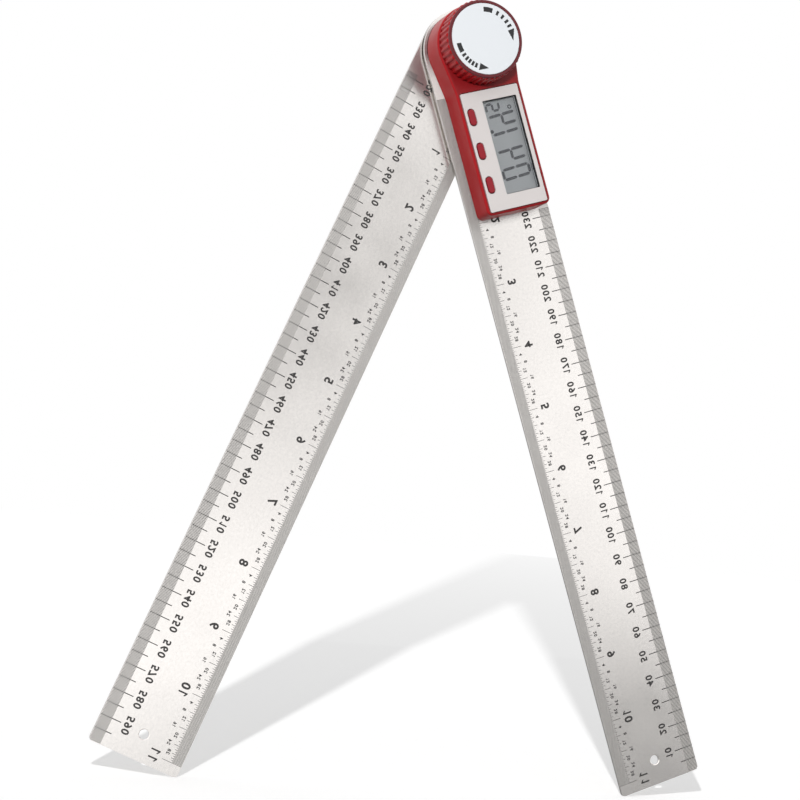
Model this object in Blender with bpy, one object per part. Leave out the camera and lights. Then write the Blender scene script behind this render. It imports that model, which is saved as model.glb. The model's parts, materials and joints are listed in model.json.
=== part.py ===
"""Angle finder with two steel arms, a digital head and a lock knob.

Metres, +Z up. The pivot's axis lies along Y through the origin, and the rear cap's back face
lies in the plane Y = 0. The tool stands on the tips of its arms, opened like an A, with its
front towards -Y. Each arm has a frame of its own at the pivot: U runs from the pivot to the
tip, V across the rule, and H from the back of the tool to its front. Every outline below is
in U and V, and every height in H.
"""

import math

import bmesh
import bpy
from mathutils import Matrix

# Fits and facets
FIT = 0.0003
RUNNING = 0.0001
OVERRUN = 0.002
MERGE = 0.000001
ROUND_STEPS = 48
MIDDLE_STEPS = 32
SMALL_STEPS = 16
CORNER_STEPS = 3
EDGE_STEPS = 3
SMOOTH_ANGLE = math.radians(35)
QUARTER = math.pi / 2
TURN = math.tau

# Rules
OPENING = math.radians(41.45)
RULE_REACH = 0.300
RULE_WIDTH = 0.0354
RULE_THICKNESS = 0.0012
TIP_CORNER = 0.0015
HANG_HOLE_RADIUS = 0.0021
HANG_HOLE_INSET = 0.0095

# Pivot, from the back to the front
CAP_RADIUS = 0.0150
CAP_WALL = 0.0012
CAP_SKIRT = 0.0016
CAP_CHAMFER = 0.0006
BOLT_HEAD_RADIUS = 0.0052
BOLT_HEAD_THICKNESS = 0.0011
BOLT_RADIUS = 0.0030
BOLT_FLAT = 0.0025
BOLT_FLAT_LEAD = 0.0010
THREAD_RADIUS = 0.0025
HUB_RADIUS = 0.0056
HUB_WALL = 0.0011
HUB_FLANGE_RADIUS = 0.0115
HUB_SPIGOT_RADIUS = 0.0047
HUB_SCREW_CIRCLE = 0.0086
HUB_SCREWS = 3
HUB_SCREW_START = math.radians(31)
FRICTION_THICKNESS = 0.0004
FRICTION_INNER = 0.0100
FRICTION_OUTER = 0.0155
BUSHING_WALL = 0.0015
BUSHING_FLANGE_RADIUS = 0.0090
BUSHING_FLANGE_THICKNESS = 0.0005

# Screws
SCREW_HEAD_RADIUS = 0.0019
SCREW_SHANK_RADIUS = 0.0009
SCREW_HEAD_SHARE = 0.75
CASE_SCREW_LENGTH = 0.0050

# Battery and its cover
BATTERY_ROOM = 0.0009
BATTERY_THICKNESS = 0.0032
BATTERY_CHAMFER = 0.0003
COVER_MARGIN = 0.0010
LUG_REACH = 0.0010
LUG_THICKNESS = 0.0006
LUG_ANGLE = math.radians(36)
LUG_TURN = math.radians(60)
NOTCH_ANGLE = math.radians(42)
COIN_SLOT_LENGTH = 0.0120
COIN_SLOT_WIDTH = 0.0016
COIN_SLOT_DEPTH = 0.0009
HOLDER_WALL = 0.0012
HOLDER_GATE = 0.0050
CONTACT_THICKNESS = 0.0002
CONTACT_WIDTH = 0.0036
CONTACT_LENGTH = 0.0130

# Board and encoder
BOARD_THICKNESS = 0.0010
BOARD_BORE = 0.0070
ROTOR_RADIUS = 0.0135
ROTOR_THICKNESS = 0.0010
CLIP_WALL = 0.0014
CLIP_THICKNESS = 0.0005
CHIP_SIZE = 0.0050
CHIP_HEIGHT = 0.0010
CHIP_CORNER = 0.0008

# Case
COLLAR_RADIUS = 0.0164
CASE_WIDTH = 0.0280
CASE_REACH = 0.0663
SHOULDER_REACH = 0.0170
SHOULDER_RADIUS = 0.0120
CASE_CORNER = 0.0026
CASE_EDGE = 0.0009
CASE_WALL = 0.0016
CASE_SKIN = 0.0010
BOSS_RADIUS = 0.0022
BOSS_BITE = 0.0005

# Faceplate, window and display
PLATE_START = 0.0176
PLATE_SIDE_RIM = 0.0015
PLATE_THICKNESS = 0.0009
PLATE_CORNER = 0.0006
PLATE_RIM = 0.0013
WINDOW_END = 0.0050
WINDOW_WIDTH_SHARE = 0.592
WINDOW_SHIFT = 0.0007
WINDOW_MARGIN = 0.00165
WINDOW_CORNER = 0.0004
LENS_THICKNESS = 0.0008
LCD_THICKNESS = 0.0014
LCD_FRAME_WALL = 0.0007
ZEBRA_HEIGHT = 0.0007
ZEBRA_WIDTH = 0.0014
ZEBRA_INSET = 0.0020

# Buttons
BUTTONS = 3
BUTTON_LENGTH = 0.0068
BUTTON_WIDTH = 0.0031
BUTTON_CORNER = 0.0013
BUTTON_PITCH_SHARE = 0.2861
BUTTON_SHIFT = 0.0005
BUTTON_INSET = 0.00272
BUTTON_PROUD = 0.0005
BUTTON_EDGE = 0.0003
BUTTON_TRAVEL = 0.0006
BUTTON_FLANGE = 0.0005
BUTTON_FLANGE_THICKNESS = 0.0006
DOME_RADIUS = 0.0018
DOME_CROWN_SHARE = 0.55

# Knob
KNOB_HEIGHT = 0.0090
KNOB_CREST = 0.0158
KNOB_RIM = 0.0153
KNOB_RIBS = 42
RIB_DEPTH = 0.0006
RIB_SHARES = (0.10, 0.30, 0.60, 0.80)
RIM_HEIGHT = 0.0009
KNOB_CHAMFER = 0.0003
KNOB_SKIRT = 0.0020
KNOB_WALL = 0.0016
DISC_RADIUS = 0.01415
DISC_THICKNESS = 0.0006
INSERT_RADIUS = 0.0045
INSERT_HEIGHT = 0.0052
KNOB_BOSS_WALL = 0.0018
KNOB_WASHER_THICKNESS = 0.0004
KNOB_WASHER_RADIUS = 0.0060

# Heights worked out from the stack, from the rear cap's back face forwards
BOLT_HEAD_BACK = CAP_WALL + FIT
BOLT_HEAD_FRONT = BOLT_HEAD_BACK + BOLT_HEAD_THICKNESS
HUB_FLANGE_BACK = BOLT_HEAD_BACK + FIT
HUB_SEAT = BOLT_HEAD_FRONT + FIT
HUB_FLANGE_FRONT = HUB_SEAT + HUB_WALL
CAP_FRONT = HUB_FLANGE_FRONT
MOVING_BACK = HUB_FLANGE_FRONT + FIT
MOVING_FRONT = MOVING_BACK + RULE_THICKNESS
FRICTION_BACK = MOVING_FRONT + FIT
FRICTION_FRONT = FRICTION_BACK + FRICTION_THICKNESS
FIXED_BACK = FRICTION_FRONT + FIT
FIXED_FRONT = FIXED_BACK + RULE_THICKNESS
CASE_BACK = FIXED_FRONT + FIT
COVER_FRONT = CASE_BACK + LUG_THICKNESS
BATTERY_BACK = COVER_FRONT + FIT
BATTERY_FRONT = BATTERY_BACK + BATTERY_THICKNESS
CONTACT_BACK = BATTERY_FRONT + FIT
CONTACT_FRONT = CONTACT_BACK + CONTACT_THICKNESS
BOARD_BACK = CONTACT_FRONT + FIT
BOARD_FRONT = BOARD_BACK + BOARD_THICKNESS
LCD_FRAME_BACK = BOARD_FRONT + FIT
ZEBRA_FRONT = LCD_FRAME_BACK + ZEBRA_HEIGHT
LCD_BACK = ZEBRA_FRONT + FIT
LCD_FRONT = LCD_BACK + LCD_THICKNESS
LENS_BACK = LCD_FRONT + FIT
LENS_FRONT = LENS_BACK + LENS_THICKNESS
PLATE_FLOOR = LENS_FRONT
PLATE_BACK = PLATE_FLOOR + FIT
CASE_FRONT = PLATE_BACK + PLATE_THICKNESS
CEILING = PLATE_FLOOR - CASE_SKIN
ROTOR_FRONT = BOARD_BACK - FIT
ROTOR_BACK = ROTOR_FRONT - ROTOR_THICKNESS
HUB_SHOULDER = ROTOR_BACK - FIT
CLIP_BACK = ROTOR_FRONT + FIT
CLIP_FRONT = CLIP_BACK + CLIP_THICKNESS
BUTTON_FLANGE_FRONT = CEILING - FIT
BUTTON_BACK = BUTTON_FLANGE_FRONT - BUTTON_FLANGE_THICKNESS
BUTTON_FRONT = CASE_FRONT + BUTTON_PROUD
DOME_FRONT = BUTTON_BACK - BUTTON_TRAVEL - FIT
KNOB_BACK = CASE_FRONT + FIT
KNOB_FRONT = KNOB_BACK + KNOB_HEIGHT
KNOB_WASHER_FRONT = KNOB_BACK + KNOB_WASHER_THICKNESS
INSERT_BACK = KNOB_WASHER_FRONT + FIT
DISC_FLOOR = KNOB_FRONT - DISC_THICKNESS - FIT
KNOB_CEILING = DISC_FLOOR - KNOB_WALL
INSERT_FRONT = min(INSERT_BACK + INSERT_HEIGHT, KNOB_CEILING - FIT)

# Places worked out from the sizes
BUSHING_BORE = HUB_RADIUS + RUNNING
BUSHING_RADIUS = BUSHING_BORE + BUSHING_WALL
HOLDER_RADIUS = CASE_WIDTH / 2 - CASE_WALL - BATTERY_ROOM
HOLDER_INNER = HOLDER_RADIUS - HOLDER_WALL
BATTERY_RADIUS = HOLDER_INNER - FIT
COVER_RADIUS = BATTERY_RADIUS + COVER_MARGIN
COVER_HOLE = COVER_RADIUS + FIT
LUG_RADIUS = COVER_RADIUS + LUG_REACH
PLATE_WIDTH = CASE_WIDTH - 2 * PLATE_SIDE_RIM
PLATE_LENGTH = CASE_REACH - PLATE_RIM - PLATE_START
PLATE_REACH = PLATE_START + PLATE_LENGTH / 2
BATTERY_REACH = PLATE_REACH
BOSS_SIDE = CASE_WIDTH / 2 - CASE_WALL - BOSS_RADIUS + BOSS_BITE
BOSS_FAR = CASE_REACH - CASE_WALL - BOSS_RADIUS + BOSS_BITE
BOSS_PLACES = [(reach, side * BOSS_SIDE) for reach in (SHOULDER_REACH, BOSS_FAR) for side in (1, -1)]
BOARD_NEAR = SHOULDER_REACH + BOSS_RADIUS + FIT
BOARD_FAR = BOSS_FAR - BOSS_RADIUS - FIT
BOARD_SIDE = CASE_WIDTH / 2 - CASE_WALL - FIT
NECK_SIDE = BOSS_SIDE - BOSS_RADIUS - FIT
STATOR_RADIUS = COLLAR_RADIUS - CASE_WALL - FIT
WINDOW_LENGTH = PLATE_LENGTH - 2 * WINDOW_END
WINDOW_WIDTH = PLATE_WIDTH * WINDOW_WIDTH_SHARE
WINDOW_REACH = PLATE_REACH - WINDOW_SHIFT
WINDOW_SIDE = (PLATE_WIDTH - WINDOW_WIDTH) / 2 - WINDOW_MARGIN
LCD_LENGTH = WINDOW_LENGTH - 2 * FIT
LCD_WIDTH = WINDOW_WIDTH - 2 * FIT
LCD_FRAME_LENGTH = WINDOW_LENGTH + 2 * LCD_FRAME_WALL
LCD_FRAME_WIDTH = WINDOW_WIDTH + 2 * LCD_FRAME_WALL
WINDOW_CENTRE = (WINDOW_REACH, WINDOW_SIDE)
BUTTON_PITCH = BUTTON_PITCH_SHARE * PLATE_LENGTH
BUTTON_REACH = PLATE_REACH - BUTTON_SHIFT
BUTTON_SIDE = BUTTON_INSET - PLATE_WIDTH / 2
BUTTON_PLACES = [
    (BUTTON_REACH + (i - (BUTTONS - 1) / 2) * BUTTON_PITCH, BUTTON_SIDE) for i in range(BUTTONS)
]
HUB_SCREW_PLACES = [
    (
        HUB_SCREW_CIRCLE * math.cos(HUB_SCREW_START + TURN * i / HUB_SCREWS),
        HUB_SCREW_CIRCLE * math.sin(HUB_SCREW_START + TURN * i / HUB_SCREWS),
    )
    for i in range(HUB_SCREWS)
]


def clear_scene():
    for obj in list(bpy.data.objects):
        bpy.data.objects.remove(obj, do_unlink=True)


def material(name, colour, roughness, metallic=0.0, alpha=1.0):
    """The Principled material of this name, made once."""
    found = bpy.data.materials.get(name)
    if found:
        return found
    made = bpy.data.materials.new(name)
    made.use_nodes = True
    made.diffuse_color = (*colour, alpha)
    shader = made.node_tree.nodes["Principled BSDF"]
    shader.inputs["Base Color"].default_value = (*colour, 1.0)
    shader.inputs["Roughness"].default_value = roughness
    shader.inputs["Metallic"].default_value = metallic
    shader.inputs["Alpha"].default_value = alpha
    return made


def steel():
    return material("brushed_steel", (0.62, 0.61, 0.60), 0.32, 1.0)


def dark_steel():
    return material("screw_steel", (0.33, 0.33, 0.34), 0.35, 1.0)


def red_plastic():
    return material("red_plastic", (0.46, 0.018, 0.022), 0.35)


def button_rubber():
    return material("button_rubber", (0.40, 0.022, 0.030), 0.55)


def pale_plate():
    return material("pale_plate", (0.70, 0.65, 0.62), 0.40)


def black_plastic():
    return material("black_plastic", (0.03, 0.03, 0.03), 0.50)


def white_plastic():
    return material("white_plastic", (0.84, 0.86, 0.88), 0.45)


def display_glass():
    return material("display_glass", (0.36, 0.40, 0.40), 0.25)


def clear_lens():
    return material("clear_lens", (0.90, 0.92, 0.92), 0.05, 0.0, 0.35)


def board_green():
    return material("board_green", (0.02, 0.16, 0.07), 0.45)


def brass():
    return material("brass", (0.70, 0.50, 0.18), 0.30, 1.0)


def grey_rubber():
    return material("grey_rubber", (0.18, 0.18, 0.19), 0.80)


def nylon():
    return material("nylon", (0.75, 0.73, 0.68), 0.55)


def arc(centre, radius, start, end, steps):
    """Points along an arc, both ends included."""
    return [
        (
            centre[0] + radius * math.cos(start + (end - start) * i / steps),
            centre[1] + radius * math.sin(start + (end - start) * i / steps),
        )
        for i in range(steps + 1)
    ]


def circle(centre, radius, steps=ROUND_STEPS):
    return arc(centre, radius, 0, TURN, steps)[:-1]


def rounded_box(centre, length, width, corner, steps=CORNER_STEPS):
    """A rectangle with round corners, counter-clockwise."""
    points = []
    for turn, (along, across) in enumerate(((1, 1), (-1, 1), (-1, -1), (1, -1))):
        middle = (
            centre[0] + along * (length / 2 - corner),
            centre[1] + across * (width / 2 - corner),
        )
        points += arc(middle, corner, turn * QUARTER, (turn + 1) * QUARTER, steps)
    return points


def fillet(before, corner, after, radius, steps=CORNER_STEPS):
    """The arc that rounds a corner between two straight stretches, inner or outer."""
    a = math.atan2(before[1] - corner[1], before[0] - corner[0])
    b = math.atan2(after[1] - corner[1], after[0] - corner[0])
    opening = (b - a + math.pi) % TURN - math.pi
    middle = a + opening / 2
    reach = radius / math.sin(abs(opening) / 2)
    centre = (corner[0] + reach * math.cos(middle), corner[1] + reach * math.sin(middle))
    sweep = math.pi - abs(opening)
    back = middle + math.pi
    side = 1 if opening > 0 else -1
    return arc(centre, radius, back + side * sweep / 2, back - side * sweep / 2, steps)


def sector(centre, inner, outer, middle, spread, steps=SMALL_STEPS):
    """A ring's stretch of the given spread, round the angle called middle."""
    start, end = middle - spread / 2, middle + spread / 2
    return arc(centre, outer, start, end, steps) + arc(centre, inner, end, start, steps)


def without_repeats(outline):
    """The outline with points that fall on their neighbour left out."""
    kept = [
        point
        for before, point in zip(outline[-1:] + outline[:-1], outline)
        if math.dist(before, point) > MERGE
    ]
    return kept


def finished(name, shape, frame, finish, place=(0.0, 0.0)):
    """The object of a shape, shaded, in its frame."""
    bmesh.ops.recalc_face_normals(shape, faces=shape.faces)
    mesh = bpy.data.meshes.new(name)
    shape.to_mesh(mesh)
    shape.free()
    mesh.shade_smooth()
    mesh.set_sharp_from_angle(angle=SMOOTH_ANGLE)
    if finish:
        mesh.materials.append(finish)
    obj = bpy.data.objects.new(name, mesh)
    bpy.context.scene.collection.objects.link(obj)
    obj.parent = frame
    obj.location = (*place, 0.0)
    return obj


def lofted_shape(rings):
    """Closed shape through rings of (outline, height), each with as many points as the next."""
    shape = bmesh.new()
    rows = [[shape.verts.new((u, v, height)) for u, v in outline] for outline, height in rings]
    for lower, upper in zip(rows, rows[1:]):
        for i in range(len(lower)):
            j = (i + 1) % len(lower)
            shape.faces.new((lower[i], lower[j], upper[j], upper[i]))
    shape.faces.new(rows[0][::-1])
    shape.faces.new(rows[-1])
    return shape


def lofted(name, rings, frame, finish, place=(0.0, 0.0)):
    return finished(name, lofted_shape(rings), frame, finish, place)


def prism(name, outline, back, front, frame, finish=None, place=(0.0, 0.0)):
    """An outline extruded from one height to another."""
    shape = bmesh.new()
    points = [shape.verts.new((u, v, back)) for u, v in without_repeats(outline)]
    face = shape.faces.new(points)
    raised = bmesh.ops.extrude_face_region(shape, geom=[face])["geom"]
    moved = [item for item in raised if isinstance(item, bmesh.types.BMVert)]
    bmesh.ops.translate(shape, verts=moved, vec=(0, 0, front - back))
    return finished(name, shape, frame, finish, place)


def turned(name, profile, frame, finish=None, place=(0.0, 0.0), steps=ROUND_STEPS):
    """A profile of (radius, height) spun round its own H axis. One that starts and ends on
    the axis makes a solid body, and any other closes on itself as a ring."""
    shape = bmesh.new()
    points = [shape.verts.new((radius, 0, height)) for radius, height in profile]
    pairs = list(zip(points, points[1:]))
    if profile[0][0] > 0:
        pairs.append((points[-1], points[0]))
    edges = [shape.edges.new(pair) for pair in pairs]
    bmesh.ops.spin(
        shape,
        geom=points + edges,
        cent=(0, 0, 0),
        axis=(0, 0, 1),
        dvec=(0, 0, 0),
        angle=TURN,
        steps=steps,
        use_merge=True,
    )
    bmesh.ops.remove_doubles(shape, verts=shape.verts, dist=MERGE)
    return finished(name, shape, frame, finish, place)


def ring(name, inner, outer, back, front, frame, finish=None, place=(0.0, 0.0), steps=ROUND_STEPS):
    profile = [(inner, back), (inner, front), (outer, front), (outer, back)]
    return turned(name, profile, frame, finish, place, steps)


def combine(target, operation, *tools):
    """Joins or cuts the target with helper solids, which settle_cuts removes."""
    for tool in tools:
        tool.hide_render = True
        tool.display_type = "WIRE"
        modifier = target.modifiers.new(tool.name, "BOOLEAN")
        modifier.operation = operation
        modifier.solver = "EXACT"
        modifier.object = tool


def cut(target, *tools):
    combine(target, "DIFFERENCE", *tools)


def join(target, *tools):
    combine(target, "UNION", *tools)


def settle_cuts():
    """Applies every cut and join, shades the new edges, and removes the helper solids."""
    graph = bpy.context.evaluated_depsgraph_get()
    worked = [obj for obj in bpy.data.objects if obj.modifiers]
    meshes = [bpy.data.meshes.new_from_object(obj.evaluated_get(graph)) for obj in worked]
    for obj, mesh in zip(worked, meshes):
        obj.modifiers.clear()
        obj.data = mesh
        mesh.shade_smooth()
        mesh.set_sharp_from_angle(angle=SMOOTH_ANGLE)
    for obj in [obj for obj in bpy.data.objects if obj.hide_render]:
        bpy.data.objects.remove(obj, do_unlink=True)


def arm_frames():
    """The two arms' frames at the pivot: the fixed arm to the right, the moving arm open."""
    half = OPENING / 2
    fixed = bpy.data.objects.new("fixed_arm_frame", None)
    fixed.matrix_world = Matrix(
        (
            (math.sin(half), math.cos(half), 0, 0),
            (0, 0, -1, 0),
            (-math.cos(half), math.sin(half), 0, 0),
            (0, 0, 0, 1),
        )
    )
    moving = bpy.data.objects.new("moving_arm_frame", None)
    moving.parent = fixed
    moving.rotation_euler = (0, 0, -OPENING)
    for frame in (fixed, moving):
        bpy.context.scene.collection.objects.link(frame)
    return fixed, moving


def rule_outline():
    """A flat rule with a full round end at the pivot and eased corners at the tip."""
    half = RULE_WIDTH / 2
    tip = RULE_REACH - TIP_CORNER
    side = half - TIP_CORNER
    outline = arc((0, 0), half, QUARTER, 3 * QUARTER, ROUND_STEPS // 2)
    outline += arc((tip, -side), TIP_CORNER, -QUARTER, 0, CORNER_STEPS)
    outline += arc((tip, side), TIP_CORNER, 0, QUARTER, CORNER_STEPS)
    return outline


def screw(name, face, inwards, length, frame, place):
    """A countersunk screw with its flat head at the face. Inwards is 1 or -1 along H."""
    depth = RULE_THICKNESS * SCREW_HEAD_SHARE
    profile = [
        (0.0, face),
        (SCREW_HEAD_RADIUS, face),
        (SCREW_SHANK_RADIUS, face + inwards * depth),
        (SCREW_SHANK_RADIUS, face + inwards * length),
        (0.0, face + inwards * length),
    ]
    return turned(name, profile, frame, dark_steel(), place, SMALL_STEPS)


def screw_hole(name, face, inwards, frame, place):
    """The cutter of a countersunk hole through a rule, with its mouth at the face."""
    depth = RULE_THICKNESS * SCREW_HEAD_SHARE
    profile = [
        (0.0, face - inwards * OVERRUN),
        (SCREW_HEAD_RADIUS + FIT, face - inwards * OVERRUN),
        (SCREW_HEAD_RADIUS + FIT, face),
        (SCREW_SHANK_RADIUS + FIT, face + inwards * depth),
        (SCREW_SHANK_RADIUS + FIT, face + inwards * (RULE_THICKNESS + OVERRUN)),
        (0.0, face + inwards * (RULE_THICKNESS + OVERRUN)),
    ]
    return turned(name, profile, frame, None, place, SMALL_STEPS)


def hang_hole(name, back, front, frame):
    outline = circle((RULE_REACH - HANG_HOLE_INSET, 0), HANG_HOLE_RADIUS, SMALL_STEPS)
    return prism(name, outline, back - OVERRUN, front + OVERRUN, frame)


def cover_hole_outline():
    """The battery cover's hole, with two notches that let its lugs in."""
    outline = []
    for middle in (0, math.pi):
        start, end = middle - NOTCH_ANGLE / 2, middle + NOTCH_ANGLE / 2
        centre = (BATTERY_REACH, 0)
        outline += arc(centre, LUG_RADIUS + FIT, start, end, CORNER_STEPS)
        outline += arc(centre, COVER_HOLE, end, start + math.pi, SMALL_STEPS)
    return outline


def make_fixed_rule(frame):
    rule = prism("fixed_rule", rule_outline(), FIXED_BACK, FIXED_FRONT, frame, steel())
    low, high = FIXED_BACK - OVERRUN, FIXED_FRONT + OVERRUN
    cut(
        rule,
        hang_hole("fixed_hang_hole", FIXED_BACK, FIXED_FRONT, frame),
        prism("fixed_pivot_hole", circle((0, 0), BUSHING_RADIUS + FIT), low, high, frame),
        prism("cover_hole", cover_hole_outline(), low, high, frame),
    )
    for i, place in enumerate(BOSS_PLACES, 1):
        cut(rule, screw_hole(f"case_screw_hole_{i}", FIXED_BACK, 1, frame, place))
        screw(f"case_screw_{i}", FIXED_BACK, 1, CASE_SCREW_LENGTH, frame, place)
    return rule


def make_moving_rule(frame):
    rule = prism("moving_rule", rule_outline(), MOVING_BACK, MOVING_FRONT, frame, steel())
    low, high = MOVING_BACK - OVERRUN, MOVING_FRONT + OVERRUN
    cut(
        rule,
        hang_hole("moving_hang_hole", MOVING_BACK, MOVING_FRONT, frame),
        prism("moving_pivot_hole", circle((0, 0), HUB_RADIUS + FIT), low, high, frame),
    )
    length = MOVING_FRONT - HUB_FLANGE_BACK - FIT
    for i, place in enumerate(HUB_SCREW_PLACES, 1):
        cut(rule, screw_hole(f"hub_screw_hole_{i}", MOVING_FRONT, -1, frame, place))
        screw(f"hub_screw_{i}", MOVING_FRONT, -1, length, frame, place)
    return rule


def make_hub(frame):
    """Flanged sleeve: its counterbore holds the bolt's head, its spigot the encoder's rotor."""
    top = CLIP_FRONT
    profile = [
        (BOLT_HEAD_RADIUS + FIT, HUB_FLANGE_BACK),
        (BOLT_HEAD_RADIUS + FIT, HUB_SEAT),
        (BOLT_RADIUS + FIT, HUB_SEAT),
        (BOLT_RADIUS + FIT, top),
        (HUB_SPIGOT_RADIUS, top),
        (HUB_SPIGOT_RADIUS, HUB_SHOULDER),
        (HUB_RADIUS, HUB_SHOULDER),
        (HUB_RADIUS, HUB_FLANGE_FRONT),
        (HUB_FLANGE_RADIUS, HUB_FLANGE_FRONT),
        (HUB_FLANGE_RADIUS, HUB_FLANGE_BACK),
    ]
    hub = turned("pivot_hub", profile, frame, brass())
    for i, place in enumerate(HUB_SCREW_PLACES, 1):
        outline = circle((0, 0), SCREW_SHANK_RADIUS + FIT, SMALL_STEPS)
        low, high = HUB_FLANGE_BACK - OVERRUN, HUB_FLANGE_FRONT + OVERRUN
        cut(hub, prism(f"hub_screw_bore_{i}", outline, low, high, frame, None, place))


def make_rear_cap(frame):
    inner = CAP_RADIUS - CAP_SKIRT
    profile = [
        (0.0, 0.0),
        (CAP_RADIUS - CAP_CHAMFER, 0.0),
        (CAP_RADIUS, CAP_CHAMFER),
        (CAP_RADIUS, CAP_FRONT),
        (inner, CAP_FRONT),
        (inner, CAP_WALL),
        (0.0, CAP_WALL),
    ]
    turned("rear_cap", profile, frame, red_plastic())


def make_bolt(frame):
    """Clamp bolt. Two flats key it to the case, and its thread takes the knob."""
    flat_back = CEILING - BOLT_FLAT_LEAD
    flat_front = CASE_FRONT
    profile = [
        (0.0, BOLT_HEAD_BACK),
        (BOLT_HEAD_RADIUS, BOLT_HEAD_BACK),
        (BOLT_HEAD_RADIUS, BOLT_HEAD_FRONT),
        (BOLT_RADIUS, BOLT_HEAD_FRONT),
        (BOLT_RADIUS, flat_front),
        (THREAD_RADIUS, flat_front),
        (THREAD_RADIUS, INSERT_FRONT),
        (0.0, INSERT_FRONT),
    ]
    bolt = turned("pivot_bolt", profile, frame, dark_steel(), steps=MIDDLE_STEPS)
    for i, side in enumerate((1, -1), 1):
        middle = (0, side * (BOLT_FLAT + BOLT_RADIUS))
        outline = rounded_box(middle, 4 * BOLT_RADIUS, 2 * BOLT_RADIUS, FIT, 1)
        cut(bolt, prism(f"bolt_flat_{i}", outline, flat_back, flat_front + OVERRUN, frame))


def make_pivot_trim(frame):
    """The bushing, the two washers between moving faces, and the rotor's clip and disc."""
    profile = [
        (BUSHING_BORE, FIXED_BACK),
        (BUSHING_BORE, CASE_BACK + BUSHING_FLANGE_THICKNESS),
        (BUSHING_FLANGE_RADIUS, CASE_BACK + BUSHING_FLANGE_THICKNESS),
        (BUSHING_FLANGE_RADIUS, CASE_BACK),
        (BUSHING_RADIUS, CASE_BACK),
        (BUSHING_RADIUS, FIXED_BACK),
    ]
    turned("pivot_bushing", profile, frame, nylon(), steps=MIDDLE_STEPS)
    ring(
        "friction_washer",
        FRICTION_INNER,
        FRICTION_OUTER,
        FRICTION_BACK,
        FRICTION_FRONT,
        frame,
        nylon(),
    )
    ring(
        "knob_washer",
        BOLT_RADIUS + FIT,
        KNOB_WASHER_RADIUS,
        KNOB_BACK,
        KNOB_WASHER_FRONT,
        frame,
        dark_steel(),
        steps=MIDDLE_STEPS,
    )


def make_rotor(frame):
    inner = HUB_SPIGOT_RADIUS + FIT
    ring("encoder_rotor", inner, ROTOR_RADIUS, ROTOR_BACK, ROTOR_FRONT, frame, board_green())
    clip = inner + CLIP_WALL
    ring("rotor_clip", inner, clip, CLIP_BACK, CLIP_FRONT, frame, dark_steel(), steps=MIDDLE_STEPS)


def case_outline(inset):
    """The case seen from the front: a round collar that tapers into straight sides."""
    collar = COLLAR_RADIUS - inset
    side = CASE_WIDTH / 2 - inset
    end = CASE_REACH - inset
    corner = max(CASE_CORNER - inset, FIT)
    reach = math.hypot(SHOULDER_REACH, side)
    tangent = math.atan2(side, SHOULDER_REACH) + math.acos(min(1, collar / reach))
    round_end = arc((0, 0), collar, tangent, TURN - tangent, ROUND_STEPS)
    shoulders = [(SHOULDER_REACH, -side), (SHOULDER_REACH, side)]
    corners = [(end, -side), (end, side)]
    outline = list(round_end)
    outline += fillet(round_end[-1], shoulders[0], corners[0], SHOULDER_RADIUS)
    outline += fillet(shoulders[0], corners[0], corners[1], corner)
    outline += fillet(corners[0], corners[1], shoulders[1], corner)
    outline += fillet(corners[1], shoulders[1], round_end[0], SHOULDER_RADIUS)
    return outline


def double_d(radius, flat, steps=SMALL_STEPS):
    """A circle with two flats, across V."""
    start = math.asin(flat / radius)
    right = arc((0, 0), radius, -start, start, steps)
    left = arc((0, 0), radius, math.pi - start, math.pi + start, steps)
    return right + left


def button_slot(name, place, back, front, frame):
    outline = rounded_box(
        (0, 0), BUTTON_LENGTH + 2 * FIT, BUTTON_WIDTH + 2 * FIT, BUTTON_CORNER + FIT
    )
    return prism(name, outline, back, front, frame, None, place)


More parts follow.
